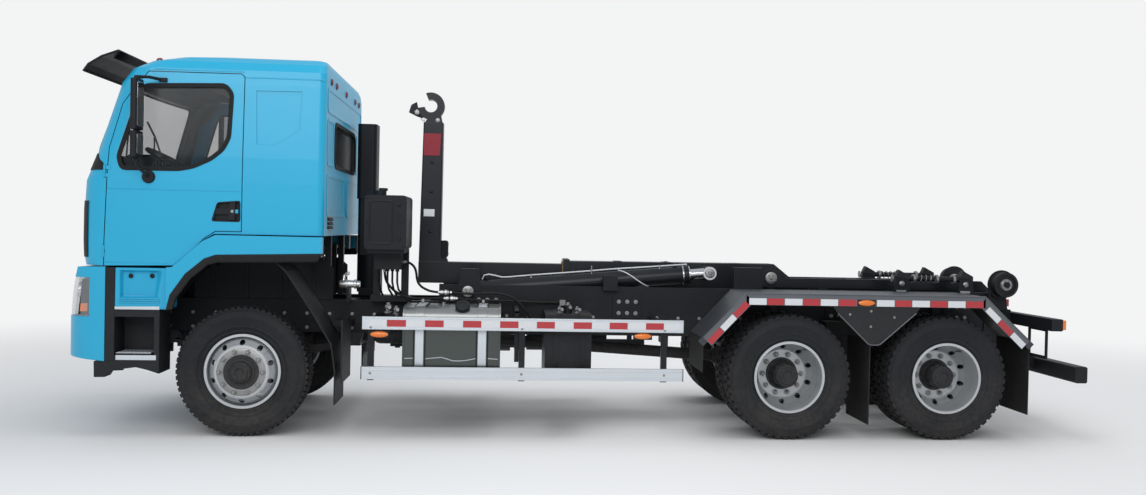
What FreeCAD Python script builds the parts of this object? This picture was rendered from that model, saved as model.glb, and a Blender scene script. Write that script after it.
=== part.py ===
import FreeCAD, Part
import math
import os

os.makedirs("parts", exist_ok=True)
Vec = FreeCAD.Vector

# Hook-lift refuse truck, 6x4, with a cab over the engine and no container.
# The truck faces -X and its left side is at -Y. Places along X are measured from the front axle,
# and every shape is moved by ORIGIN_SHIFT when it is written, so that the origin lies on the ground
# below the middle of the overall length.

# Overall sizes
FRONT_OVERHANG = 1360.0
WHEELBASE = 4425.0
TANDEM_SPACING = 1350.0
REAR_OVERHANG = 1265.0
LAST_AXLE_X = WHEELBASE + TANDEM_SPACING
REAR_END = LAST_AXLE_X + REAR_OVERHANG
OVERALL_LENGTH = FRONT_OVERHANG + REAR_END
ORIGIN_SHIFT = FRONT_OVERHANG - OVERALL_LENGTH / 2
SEAT_GAP = 0.3

# Wheels
TYRE_R = 520.0
TYRE_WIDTH = 290.0
RIM_R = 298.0
FRONT_TRACK_HALF = 1005.0
TWIN_OUTER_Y = 1100.0
TWIN_PITCH = 330.0
REAR_TYRE_WIDTH = 276.0
KINGPIN_Y = 850.0
HUB_R = 105.0
REAR_HUB_R = 120.0

# Ladder frame
RAIL_OUTER_Y = 430.0
RAIL_FLANGE = 80.0
RAIL_WEB = 8.0
RAIL_BOTTOM = 775.0
RAIL_TOP = 1055.0
RAIL_FRONT = -1205.0
RAIL_REAR = LAST_AXLE_X + 925
CROSS_MEMBER_TOP = 1030.0
CROSS_MEMBER_HEIGHT = 160.0

# Subframe that carries the hook-lift
SUBFRAME_FRONT = 1500.0
SUBFRAME_REAR = LAST_AXLE_X + 865
SUBFRAME_OUTER_Y = 430.0
SUBFRAME_WIDTH = 66.0
SUBFRAME_TOP = 1205.0

# Hook-lift pivots
TIP_X = LAST_AXLE_X + 810
TIP_Z = 1144.0
LIFT_X = WHEELBASE + 81
LIFT_Z = 1298.0
ROD_PIN_X = WHEELBASE - 518
ROD_PIN_Z = 1335.0
CYLINDER_FOOT_X = 1750.0
CYLINDER_FOOT_Z = 1146.0
CYLINDER_Y = 275.0
BARREL_R = 80.0
PIN_R = 28.0

# Boom, jib and hook
BOOM_HALF_WIDTH = 120.0
BOOM_WALL = 12.0
BOOM_FRONT = WHEELBASE - 1832
BOOM_TOP = 1420.0
BOOM_BOTTOM = 1186.0
JIB_CLEARANCE = 6.0
JIB_REAR = WHEELBASE - 1075
MAST_FRONT = 1294.0
MAST_REAR = 1489.0
MAST_TOP = 2640.0
HOOK_X = 1376.0
HOOK_Z = 2791.0
HOOK_OUTER_R = 122.0
HOOK_INNER_R = 56.0
HOOK_HALF_WIDTH = 45.0
TIP_BEAM_INNER = 128.0
TIP_BEAM_WIDTH = 52.0
TIP_BEAM_FRONT = LIFT_X - 149
TIP_BEAM_TOP = 1300.0

# Cab
CAB_HALF_WIDTH = 1210.0
CAB_REAR = 620.0
CAB_TOP = 3030.0
CAB_FLOOR_REAR = 1610.0
CAB_FLOOR_FRONT = 1350.0
CAB_NOSE = -1296.0
CAB_WALL = 46.0
DOOR_FRONT = -1046.0
DOOR_REAR = -4.0
DOOR_GAP = 6.0
GLASS_THICKNESS = 6.0
CAB_PIVOT_X = -1150.0
CAB_PIVOT_Z = 700.0
CAB_REST_X = 545.0
TILT_ARM_INNER = 445.0
TILT_ARM_WIDTH = 50.0
TILT_ARM_TOP_X = -455.0
TILT_PIN_R = 22.0


def box(x0, x1, y0, y1, z0, z1):
    return Part.makeBox(x1 - x0, y1 - y0, z1 - z0, Vec(x0, y0, z0))


def mirrored(shape):
    return shape.mirror(Vec(0, 0, 0), Vec(0, 1, 0))


def both(shape):
    """The shape and its mirror image across the middle of the truck."""
    return [shape, mirrored(shape)]


def fuse(shapes):
    result = shapes[0]
    if len(shapes) > 1:
        result = result.multiFuse(shapes[1:])
    return result.removeSplitter()


def cut(shape, tools):
    return shape.cut(tools) if tools else shape


def group(shapes):
    return Part.makeCompound(shapes)


def cylinder_y(x, z, r, y0, y1):
    return Part.makeCylinder(r, y1 - y0, Vec(x, y0, z), Vec(0, 1, 0))


def cylinder_x(y, z, r, x0, x1):
    return Part.makeCylinder(r, x1 - x0, Vec(x0, y, z), Vec(1, 0, 0))


def cylinder_z(x, y, r, z0, z1):
    return Part.makeCylinder(r, z1 - z0, Vec(x, y, z0), Vec(0, 0, 1))


def side_face(points):
    """A flat face in the XZ plane through points given as (x, z)."""
    corners = [Vec(x, 0, z) for x, z in points]
    return Part.Face(Part.makePolygon(corners + corners[:1]))


def prism_y(points, y0, y1):
    """An outline seen from the side, given as (x, z), run from y0 to y1."""
    face = side_face(points)
    face.translate(Vec(0, y0, 0))
    return face.extrude(Vec(0, y1 - y0, 0))


def prism_x(points, x0, x1):
    """An outline seen from the front, given as (y, z), run from x0 to x1."""
    corners = [Vec(x0, y, z) for y, z in points]
    face = Part.Face(Part.makePolygon(corners + corners[:1]))
    return face.extrude(Vec(x1 - x0, 0, 0))


def rod_between(start, end, r):
    along = end - start
    return Part.makeCylinder(r, along.Length, start, along)


def ring_y(x, z, outer, inner, y0, y1):
    return cylinder_y(x, z, outer, y0, y1).cut(cylinder_y(x, z, inner, y0 - 1, y1 + 1))


def rounded(shape, radius, direction):
    """Round the straight edges that run along the given axis letter."""
    axis = {"x": Vec(1, 0, 0), "y": Vec(0, 1, 0), "z": Vec(0, 0, 1)}[direction]
    edges = []
    for edge in shape.Edges:
        if len(edge.Vertexes) == 2 and isinstance(edge.Curve, Part.Line):
            along = edge.Vertexes[1].Point - edge.Vertexes[0].Point
            if along.Length > 0 and abs(along.normalize().dot(axis)) > 0.999:
                edges.append(edge)
    return shape.makeFillet(radius, edges)


def write(name, shape):
    placed = shape.copy()
    placed.translate(Vec(ORIGIN_SHIFT, 0, 0))
    placed.exportStep("parts/" + name + ".step")


# Chassis frame: two channel rails, the cross-members and the front cross beam
def channel_rail(x0, x1):
    outline = [
        (RAIL_OUTER_Y, RAIL_BOTTOM), (RAIL_OUTER_Y, RAIL_TOP), (RAIL_OUTER_Y - RAIL_FLANGE, RAIL_TOP),
        (RAIL_OUTER_Y - RAIL_FLANGE, RAIL_TOP - RAIL_WEB), (RAIL_OUTER_Y - RAIL_WEB, RAIL_TOP - RAIL_WEB),
        (RAIL_OUTER_Y - RAIL_WEB, RAIL_BOTTOM + RAIL_WEB),
        (RAIL_OUTER_Y - RAIL_FLANGE, RAIL_BOTTOM + RAIL_WEB), (RAIL_OUTER_Y - RAIL_FLANGE, RAIL_BOTTOM)]
    return prism_x(outline, x0, x1)


CROSS_MEMBER_XS = [700.0, 1350.0, 2300.0, WHEELBASE - 1175, WHEELBASE - 625, WHEELBASE + 675,
                   LAST_AXLE_X + 575]
CROSS_MEMBER_WIDTH = 90.0
FRONT_BEAM_DEPTH = 62.0


def chassis_frame():
    rails = both(channel_rail(RAIL_FRONT, RAIL_REAR))
    inner = RAIL_OUTER_Y - RAIL_WEB
    members = [
        box(x - CROSS_MEMBER_WIDTH / 2, x + CROSS_MEMBER_WIDTH / 2, -inner, inner,
            CROSS_MEMBER_TOP - CROSS_MEMBER_HEIGHT, CROSS_MEMBER_TOP)
        for x in CROSS_MEMBER_XS]
    front = box(RAIL_FRONT - FRONT_BEAM_DEPTH, RAIL_FRONT, -STEP_INNER_Y, STEP_INNER_Y,
                RAIL_BOTTOM - 60, RAIL_TOP - 60)
    sides = both(box(RAIL_FRONT - 10, STEP_FRONT + 65, STEP_INNER_Y - 80, STEP_INNER_Y,
                     RAIL_BOTTOM - 55, RAIL_TOP - 75))
    rear = box(RAIL_REAR - 12, RAIL_REAR, -inner, inner, RAIL_BOTTOM, RAIL_TOP)
    rests = both(box(CAB_REST_X - 25, CAB_REST_X + 25, RAIL_OUTER_Y - 70, RAIL_OUTER_Y - 10, RAIL_TOP - 2,
                     CAB_FLOOR_REAR - SEAT_GAP))
    ears = both(prism_y([(CAB_PIVOT_X - 50, RAIL_BOTTOM + 80), (CAB_PIVOT_X + 60, RAIL_BOTTOM + 80),
                         (CAB_PIVOT_X + 46, CAB_PIVOT_Z - 46), (CAB_PIVOT_X - 46, CAB_PIVOT_Z - 46)],
                        RAIL_OUTER_Y - 2, TILT_ARM_INNER - 5))
    pins = both(cylinder_y(CAB_PIVOT_X, CAB_PIVOT_Z, TILT_PIN_R, RAIL_OUTER_Y, TILT_ARM_INNER + TILT_ARM_WIDTH + 6))
    return fuse(rails + members + [front, rear] + sides + rests + ears + pins)


TILT_ARM_UPPER = [(-28.0, 36.0), (300.0, 262.0), (640.0, 690.0)]
TILT_ARM_LOWER = [(750.0, 690.0), (365.0, 195.0), (40.0, -30.0)]
TILT_BOSS_R = 46.0
TILT_CROSS_R = 24.0


def tilt_arms(outer):
    """The arms that carry the cab's front on its tilt pivot. Their knee clears the front beam when the cab tilts."""
    y0 = TILT_ARM_INNER
    y1 = TILT_ARM_INNER + TILT_ARM_WIDTH
    arm = prism_y([(CAB_PIVOT_X + x, CAB_PIVOT_Z + z) for x, z in TILT_ARM_UPPER + TILT_ARM_LOWER], y0, y1)
    boss = cylinder_y(CAB_PIVOT_X, CAB_PIVOT_Z, TILT_BOSS_R, y0, y1)
    pad = box(TILT_ARM_TOP_X - 130, TILT_ARM_TOP_X + 100, y0 - 30, y1 + 30, CAB_FLOOR_FRONT - 16,
              CAB_FLOOR_FRONT + 40)
    cross = cylinder_y(TILT_ARM_TOP_X - 30, CAB_FLOOR_FRONT - 50, TILT_CROSS_R, -y0 - 5, y0 + 5)
    body = fuse(both(fuse([arm, boss, pad])) + [cross])
    return body.cut([outer, cylinder_y(CAB_PIVOT_X, CAB_PIVOT_Z, TILT_PIN_R + PIN_PLAY, -900, 900)])


# Subframe: two rails on the chassis, its cross tubes, the tip pivot ears and the container locks
SUBFRAME_TUBE_XS = [1560.0, WHEELBASE - 435, WHEELBASE + 575, LAST_AXLE_X - 25, LAST_AXLE_X + 675]
TIP_EAR_R = 62.0
TIP_EAR_INNER = 196.0
TIP_EAR_WIDTH = 40.0


def subframe():
    rail_inner = SUBFRAME_OUTER_Y - SUBFRAME_WIDTH
    pieces = both(box(SUBFRAME_FRONT, SUBFRAME_REAR, rail_inner, SUBFRAME_OUTER_Y, RAIL_TOP, SUBFRAME_TOP))
    for x in SUBFRAME_TUBE_XS:
        pieces.append(box(x - 45, x + 45, -rail_inner, rail_inner, RAIL_TOP, RAIL_TOP + 80))
    foot_plate = [
        (CYLINDER_FOOT_X - 95, SUBFRAME_TOP - 60), (CYLINDER_FOOT_X + 115, SUBFRAME_TOP - 60),
        (CYLINDER_FOOT_X + 90, SUBFRAME_TOP + 140), (CYLINDER_FOOT_X - 60, SUBFRAME_TOP + 140)]
    for plate in both(prism_y(foot_plate, rail_inner, SUBFRAME_OUTER_Y + 20)):
        pieces.append(plate)
    ear = [
        (TIP_X - 190, RAIL_TOP), (TIP_X + 60, RAIL_TOP), (TIP_X + TIP_EAR_R, TIP_Z),
        (TIP_X, TIP_Z + TIP_EAR_R), (TIP_X - 110, TIP_Z + 20)]
    for plate in both(prism_y(ear, TIP_EAR_INNER, TIP_EAR_INNER + TIP_EAR_WIDTH)):
        pieces.append(plate)
    body = fuse(pieces)
    holes = [
        cylinder_y(CYLINDER_FOOT_X, CYLINDER_FOOT_Z, PIN_R + 0.05, -900, 900),
        cylinder_y(TIP_X, TIP_Z, TIP_PIN_R + 0.05, -TIP_EAR_INNER - TIP_EAR_WIDTH - 1, TIP_EAR_INNER + TIP_EAR_WIDTH + 1)]
    return cut(body, holes)


TIP_PIN_R = 35.0


# Tipping frame: two beams beside the boom, hinged at the rear, with the boom's pivot shaft at the front
TIP_BEAM_BOTTOM = 1212.0
LIFT_PIN_R = 40.0
PIN_PLAY = 0.05
TIP_REST_XS = [WHEELBASE + 575, LAST_AXLE_X - 25]
JIB_REST_X = 1560.0


def tipping_frame():
    outer = TIP_BEAM_INNER + TIP_BEAM_WIDTH
    outline = [
        (TIP_BEAM_FRONT, TIP_BEAM_BOTTOM), (TIP_X - 150, TIP_BEAM_BOTTOM), (TIP_X - TIP_EAR_R, TIP_Z - 20),
        (TIP_X, TIP_Z - TIP_EAR_R), (TIP_X + TIP_EAR_R, TIP_Z), (TIP_X + 40, TIP_Z + 60),
        (TIP_X - 60, TIP_BEAM_TOP), (TIP_BEAM_FRONT, TIP_BEAM_TOP)]
    eye = cylinder_y(LIFT_X, LIFT_Z, LIFT_PIN_R + 55, TIP_BEAM_INNER, outer)
    beam = fuse([prism_y(outline, TIP_BEAM_INNER, outer), eye])
    pieces = both(beam)
    for x in (WHEELBASE + 925, LAST_AXLE_X + 375):
        pieces.append(box(x - 40, x + 40, -outer, outer, TIP_BEAM_BOTTOM + 6, TIP_BEAM_TOP - 6))
    pieces.append(cylinder_y(LIFT_X, LIFT_Z, LIFT_PIN_R, -outer - 14, outer + 14))
    pin_end = TIP_EAR_INNER + TIP_EAR_WIDTH + 12
    pieces.append(cylinder_y(TIP_X, TIP_Z, TIP_PIN_R, -pin_end, pin_end))
    return fuse(pieces)


def tip_rests():
    """Blocks on the subframe's cross tubes that the tipping frame and the jib lie on."""
    outer = TIP_BEAM_INNER + TIP_BEAM_WIDTH
    blocks = []
    for x in TIP_REST_XS:
        blocks += both(box(x - 40, x + 40, TIP_BEAM_INNER, outer, RAIL_TOP + 70, TIP_BEAM_BOTTOM - SEAT_GAP))
    blocks.append(box(JIB_REST_X - 40, JIB_REST_X + 40, -80, 80, RAIL_TOP + 70,
                      BOOM_BOTTOM + BOOM_WALL))
    return blocks


# Outer boom: a hollow box that the jib slides in, with the rod bosses on its sides
ROD_BOSS_R = 60.0
ROD_BOSS_END = 203.0
BOOM_TAIL = LIFT_X + 217


def boom():
    outline = [
        (BOOM_FRONT, BOOM_BOTTOM), (LIFT_X + 60, BOOM_BOTTOM), (BOOM_TAIL - 60, LIFT_Z - 70),
        (BOOM_TAIL, LIFT_Z - 13), (LIFT_X + 40, BOOM_TOP + 4), (BOOM_FRONT, BOOM_TOP - 4)]
    shell = prism_y(outline, -BOOM_HALF_WIDTH, BOOM_HALF_WIDTH)
    inner = BOOM_HALF_WIDTH - BOOM_WALL
    hollow = box(BOOM_FRONT - 1, LIFT_X + 70, -inner, inner, BOOM_BOTTOM + BOOM_WALL, BOOM_TOP - BOOM_WALL)
    collar = box(BOOM_FRONT, BOOM_FRONT + 60, -BOOM_HALF_WIDTH - 6, BOOM_HALF_WIDTH + 6,
                 BOOM_BOTTOM, BOOM_TOP + 12)
    body = fuse([shell, collar])
    body = cut(body, [hollow, cylinder_y(LIFT_X, LIFT_Z, LIFT_PIN_R + PIN_PLAY, -200, 200)])
    bosses = both(cylinder_y(ROD_PIN_X, ROD_PIN_Z, ROD_BOSS_R, inner + 2, ROD_BOSS_END))
    return fuse([body] + bosses)


# Jib: the beam inside the boom, the mast and the hook at its top, as one welded piece
JIB_HALF_WIDTH = BOOM_HALF_WIDTH - BOOM_WALL - JIB_CLEARANCE
JIB_BOTTOM = BOOM_BOTTOM + BOOM_WALL + SEAT_GAP
JIB_TOP = BOOM_TOP - BOOM_WALL - 20.0
MAST_HALF_WIDTH = 88.0
MAST_TOP_FRONT = 1317.0
MAST_TOP_REAR = 1492.0


def hook_arm():
    beam = box(MAST_FRONT, JIB_REAR, -JIB_HALF_WIDTH, JIB_HALF_WIDTH, JIB_BOTTOM, JIB_TOP)
    mast = prism_y([(MAST_FRONT, JIB_TOP - 40), (MAST_REAR, JIB_TOP - 40), (MAST_TOP_REAR, MAST_TOP),
                    (MAST_TOP_FRONT, MAST_TOP)], -MAST_HALF_WIDTH, MAST_HALF_WIDTH)
    gusset = prism_y([(MAST_REAR - 10, JIB_TOP - 10), (MAST_REAR + 70, JIB_TOP - 10),
                      (MAST_REAR - 10, JIB_TOP + 190)], -MAST_HALF_WIDTH + 30, MAST_HALF_WIDTH - 30)
    neck = prism_y([(MAST_TOP_FRONT + 10, MAST_TOP - 10), (MAST_TOP_REAR - 8, MAST_TOP - 10),
                    (MAST_TOP_REAR - 30, HOOK_Z - 60), (HOOK_X - 20, HOOK_Z - 90)],
                   -HOOK_HALF_WIDTH, HOOK_HALF_WIDTH)
    ring = ring_y(HOOK_X, HOOK_Z, HOOK_OUTER_R, HOOK_INNER_R, -HOOK_HALF_WIDTH, HOOK_HALF_WIDTH)
    mouth = prism_y([(HOOK_X, HOOK_Z), (HOOK_X - 240, HOOK_Z - 40), (HOOK_X - 260, HOOK_Z + 240),
                     (HOOK_X - 70, HOOK_Z + 170)], -200, 200)
    return fuse([beam, mast, gusset, neck, ring.cut(mouth)])


def hook_latch():
    """The safety latch that closes the hook's mouth, on its pivot bolt at the front of the neck."""
    arm = prism_y([(HOOK_X - 197, HOOK_Z - 60), (HOOK_X - 130, HOOK_Z - 92), (HOOK_X - 78, HOOK_Z - 110),
                   (HOOK_X - 66, HOOK_Z - 96), (HOOK_X - 112, HOOK_Z - 40), (HOOK_X - 128, HOOK_Z + 34),
                   (HOOK_X - 176, HOOK_Z + 8)], -22, 22)
    bolt = cylinder_y(HOOK_X - 121, HOOK_Z - 60, 16, -40, 40)
    return fuse([arm, bolt])


# Lift cylinders: a cross shaft in the subframe, two barrels on it, a stage in each, and the rods
BARREL_START = 110.0
BARREL_END = 1975.0
BARREL_WALL = 10.0
STAGE_R = 66.0
STAGE_WALL = 12.0
ROD_R = 48.0
FOOT_EYE_R = 72.0
FOOT_EYE_HALF = 45.0
ROD_EYE_INNER = 210.0
ROD_EYE_OUTER = 338.0
ROD_PIN_DISTANCE = math.hypot(ROD_PIN_X - CYLINDER_FOOT_X, ROD_PIN_Z - CYLINDER_FOOT_Z)
CYLINDER_ANGLE = math.degrees(math.atan2(ROD_PIN_Z - CYLINDER_FOOT_Z, ROD_PIN_X - CYLINDER_FOOT_X))


def on_cylinder_axis(shape):
    """Turn a shape that lies along +X from the foot pin into line with the rod pin."""
    turned = shape.copy()
    turned.rotate(Vec(0, 0, 0), Vec(0, 1, 0), -CYLINDER_ANGLE)
    turned.translate(Vec(CYLINDER_FOOT_X, 0, CYLINDER_FOOT_Z))
    return turned


def cylinder_pins():
    half = SUBFRAME_OUTER_Y + 32
    shaft = cylinder_y(CYLINDER_FOOT_X, CYLINDER_FOOT_Z, PIN_R, -half, half)
    caps = both(cylinder_y(CYLINDER_FOOT_X, CYLINDER_FOOT_Z, PIN_R + 16, SUBFRAME_OUTER_Y + 22, half + 8))
    return fuse([shaft] + caps)


def cylinder_barrels():
    tube = cylinder_x(CYLINDER_Y, 0, BARREL_R, BARREL_START, BARREL_END)
    bore = cylinder_x(CYLINDER_Y, 0, BARREL_R - BARREL_WALL, BARREL_START + 15, BARREL_END + 1)
    gland = ring_x(CYLINDER_Y, 0, BARREL_R + 6, BARREL_R - BARREL_WALL, BARREL_END - 70, BARREL_END)
    eye = cylinder_y(0, 0, FOOT_EYE_R, CYLINDER_Y - FOOT_EYE_HALF, CYLINDER_Y + FOOT_EYE_HALF)
    neck = box(0, BARREL_START + 5, CYLINDER_Y - FOOT_EYE_HALF, CYLINDER_Y + FOOT_EYE_HALF, -50, 50)
    body = fuse([tube, eye, neck]).cut(bore)
    body = fuse([body, gland]).cut(cylinder_y(0, 0, PIN_R + PIN_PLAY, 0, 900))
    return group(both(on_cylinder_axis(body)))


def ring_x(y, z, outer, inner, x0, x1):
    return cylinder_x(y, z, outer, x0, x1).cut(cylinder_x(y, z, inner, x0 - 1, x1 + 1))


def cylinder_stages():
    start = BARREL_START + 20
    tube = ring_x(CYLINDER_Y, 0, STAGE_R, STAGE_R - STAGE_WALL, start, BARREL_END + 14)
    base = cylinder_x(CYLINDER_Y, 0, BARREL_R - BARREL_WALL - SEAT_GAP, start, start + 12)
    return group(both(on_cylinder_axis(fuse([tube, base]))))


def cylinder_rods():
    start = BARREL_START + 40
    rod = cylinder_x(CYLINDER_Y, 0, ROD_R, start, ROD_PIN_DISTANCE - 30)
    piston = cylinder_x(CYLINDER_Y, 0, STAGE_R - STAGE_WALL - SEAT_GAP, start, start + 20)
    eye = cylinder_y(ROD_PIN_DISTANCE, 0, ROD_BOSS_R, ROD_EYE_INNER, ROD_EYE_OUTER)
    cap = cylinder_y(ROD_PIN_DISTANCE, 0, PIN_R + 10, ROD_EYE_OUTER, ROD_EYE_OUTER + 12)
    return group(both(on_cylinder_axis(fuse([rod, piston, eye, cap]))))


# Rear rollers that guide the container, on brackets beside the tip pivot
ROLLER_X = LAST_AXLE_X + 783
ROLLER_Z = 1289.0
ROLLER_R = 112.0
ROLLER_INNER = 520.0
ROLLER_OUTER = 630.0
ROLLER_SHAFT_R = 26.0


def roller_brackets():
    plate = [(ROLLER_X - 130, RAIL_TOP), (ROLLER_X + 80, RAIL_TOP), (ROLLER_X + 40, ROLLER_Z + 30),
             (ROLLER_X, ROLLER_Z + 44), (ROLLER_X - 40, ROLLER_Z + 30)]
    inner = prism_y(plate, SUBFRAME_OUTER_Y - 20, ROLLER_INNER - 26)
    shaft = cylinder_y(ROLLER_X, ROLLER_Z, ROLLER_SHAFT_R, SUBFRAME_OUTER_Y, ROLLER_OUTER + 14)
    return both(fuse([inner, shaft]))


def roller():
    wheel = cylinder_y(ROLLER_X, ROLLER_Z, ROLLER_R, ROLLER_INNER, ROLLER_OUTER)
    flange = cylinder_y(ROLLER_X, ROLLER_Z, ROLLER_R + 18, ROLLER_INNER, ROLLER_INNER + 16)
    recess = ring_y(ROLLER_X, ROLLER_Z, ROLLER_R - 24, ROLLER_SHAFT_R + 24, ROLLER_OUTER - 16, ROLLER_OUTER + 1)
    bore = cylinder_y(ROLLER_X, ROLLER_Z, ROLLER_SHAFT_R + PIN_PLAY, ROLLER_INNER - 1, ROLLER_OUTER + 1)
    return fuse([wheel, flange]).cut([recess, bore])


# Container locks and side stops on the subframe rails
LOCK_XS = [LAST_AXLE_X - 135, LAST_AXLE_X + 465]
STOP_BLOCKS = [(WHEELBASE - 1497, WHEELBASE - 1370, 1309.0), (WHEELBASE - 333, WHEELBASE - 73, 1398.0)]


def container_locks():
    pieces = []
    for x0, x1, top in STOP_BLOCKS:
        pieces += both(box(x0, x1, SUBFRAME_OUTER_Y - 10, SUBFRAME_OUTER_Y + 70, SUBFRAME_TOP - 30, top))
    bar = cylinder_x(SUBFRAME_OUTER_Y + 30, SUBFRAME_TOP + 120, 24, LOCK_XS[0] - 60, LOCK_XS[1] + 60)
    for x in LOCK_XS:
        claw = prism_y([(x - 70, SUBFRAME_TOP - 40), (x + 80, SUBFRAME_TOP - 40), (x + 60, SUBFRAME_TOP + 150),
                        (x - 30, SUBFRAME_TOP + 200), (x - 60, SUBFRAME_TOP + 120)],
                       SUBFRAME_OUTER_Y - 6, SUBFRAME_OUTER_Y + 60)
        pieces += both(claw)
    pieces += both(bar)
    return pieces


# Wheels: the tyre and rim sections are given as (radius, distance from the wheel's middle, outward)
RIM_SEAT_R = 286.0
RIM_WALL = 9.0
RIM_HALF_WIDTH = 122.0
DISC_OFFSET = 165.0
DISC_THICKNESS = 12.0
DISC_R = 202.0
NUT_CIRCLE_R = 167.5
NUT_R = 17.0
NUT_COUNT = 10
VENT_CIRCLE_R = 232.0
VENT_R = 21.0
DRUM_R = 208.0
SPINDLE_R = 45.0
KNUCKLE_GAP = 8.0


def revolved(section, x, y, z):
    """A section of (radius, y) points turned about the wheel's axis, which runs along Y."""
    corners = [Vec(x + r, y + across, z) for r, across in section]
    face = Part.Face(Part.makePolygon(corners + corners[:1]))
    return face.revolve(Vec(x, y, z), Vec(0, 1, 0), 360)


def tyre(x, y, width):
    half = width / 2
    seat = RIM_SEAT_R + SEAT_GAP
    bead = RIM_HALF_WIDTH - 14
    section = [
        (seat, -bead), (RIM_R + 22, -bead - 4), (TYRE_R - 130, -half), (TYRE_R - 60, -half + 6),
        (TYRE_R - 14, -half + 22), (TYRE_R, -half + 40), (TYRE_R, half - 40), (TYRE_R - 14, half - 22),
        (TYRE_R - 60, half - 6), (TYRE_R - 130, half), (RIM_R + 22, bead + 4), (seat, bead)]
    return revolved(section, x, y, TYRE_R)


def rim(x, y, outward):
    """One rim with its disc; outward is +1 or -1, the side to which the disc is dished."""
    inner = RIM_SEAT_R - RIM_WALL
    half = RIM_HALF_WIDTH
    barrel = [
        (inner, -half), (RIM_R, -half), (RIM_R, -half + 12), (RIM_SEAT_R, -half + 14),
        (RIM_SEAT_R, half - 14), (RIM_R, half - 12), (RIM_R, half), (inner, half)]
    face = [(inner + 2, 44), (250, 112), (DISC_R + 12, DISC_OFFSET - 8), (DISC_R, DISC_OFFSET),
            (HUB_R - 10, DISC_OFFSET)]
    back = [(r, across - DISC_THICKNESS) for r, across in reversed(face)]
    disc = [(r, across * outward) for r, across in face + back]
    body = fuse([revolved(barrel, x, y, TYRE_R), revolved(disc, x, y, TYRE_R)])
    vents = []
    for step in range(NUT_COUNT):
        angle = 2 * math.pi * (step + 0.5) / NUT_COUNT
        vents.append(cylinder_y(x + VENT_CIRCLE_R * math.cos(angle), TYRE_R + VENT_CIRCLE_R * math.sin(angle),
                                VENT_R, y - 2 * half, y + 2 * half))
    return body.cut(vents)


def nuts(x, y0, y1):
    pieces = []
    for step in range(NUT_COUNT):
        angle = 2 * math.pi * step / NUT_COUNT
        pieces.append(cylinder_y(x + NUT_CIRCLE_R * math.cos(angle), TYRE_R + NUT_CIRCLE_R * math.sin(angle),
                                 NUT_R, y0, y1))
    return pieces


def front_rim():
    """The right front rim with its hub and brake drum, open to the spindle on the inside."""
    mount = FRONT_TRACK_HALF + DISC_OFFSET
    drum_inner = KINGPIN_Y + 66
    hub = [(0, mount + 52), (62, mount + 52), (78, mount + 40), (HUB_R - 15, mount + 8), (HUB_R, mount),
           (HUB_R, mount - 60), (DRUM_R, mount - 70), (DRUM_R, drum_inner), (DRUM_R - 14, drum_inner),
           (DRUM_R - 14, mount - 84), (SPINDLE_R + 26, mount - 84), (SPINDLE_R + 26, drum_inner + 20),
           (SPINDLE_R + PIN_PLAY, drum_inner + 20), (SPINDLE_R + PIN_PLAY, mount + 20), (0, mount + 20)]
    pieces = [rim(0, FRONT_TRACK_HALF, 1), revolved(hub, 0, 0, TYRE_R)]
    return fuse(pieces + nuts(0, mount - 2, mount + 26))


def rear_rim(x):
    """The right rear twin rims with their hub and drum, open to the axle on the inside."""
    middle = TWIN_OUTER_Y - TWIN_PITCH / 2
    drum_inner = middle - 215
    hub = [(0, middle + 205), (86, middle + 205), (96, middle + 190), (96, middle + 40), (REAR_HUB_R, middle + 20),
           (REAR_HUB_R, middle - 20), (DRUM_R, middle - 30), (DRUM_R, drum_inner), (DRUM_R - 14, drum_inner),
           (DRUM_R - 14, middle - 44), (SPINDLE_R + 30, middle - 44), (SPINDLE_R + 30, drum_inner + 20),
           (SPINDLE_R + PIN_PLAY, drum_inner + 20), (SPINDLE_R + PIN_PLAY, middle + 60), (0, middle + 60)]
    pieces = [rim(x, TWIN_OUTER_Y, -1), rim(x, TWIN_OUTER_Y - TWIN_PITCH, 1), revolved(hub, x, 0, TYRE_R)]
    return fuse(pieces + nuts(x, middle + 2, middle + 42))


def rear_tyres(x):
    return group([tyre(x, TWIN_OUTER_Y, REAR_TYRE_WIDTH), tyre(x, TWIN_OUTER_Y - TWIN_PITCH, REAR_TYRE_WIDTH)])


# Front axle beam and the steering knuckles on their kingpins
KINGPIN_R = 24.0
AXLE_EYE_R = 44.0
AXLE_EYE_HALF = 58.0
FRONT_AXLE_DROP = 90.0


def front_axle():
    drop = FRONT_AXLE_DROP
    outline = [
        (-KINGPIN_Y, TYRE_R - 40), (-600, TYRE_R - 40 - drop), (600, TYRE_R - 40 - drop),
        (KINGPIN_Y, TYRE_R - 40), (KINGPIN_Y, TYRE_R + 40), (600, TYRE_R + 50 - drop),
        (-600, TYRE_R + 50 - drop), (-KINGPIN_Y, TYRE_R + 40)]
    beam = prism_x(outline, -45, 45)
    eyes = both(cylinder_z(0, KINGPIN_Y, AXLE_EYE_R, TYRE_R - AXLE_EYE_HALF, TYRE_R + AXLE_EYE_HALF))
    bores = both(cylinder_z(0, KINGPIN_Y, KINGPIN_R + PIN_PLAY, 0, 2 * TYRE_R))
    trim = both(box(-60, 60, KINGPIN_Y, KINGPIN_Y + 200, 0, TYRE_R - AXLE_EYE_HALF - 1))
    return fuse([beam] + eyes).cut(bores + trim)


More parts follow.
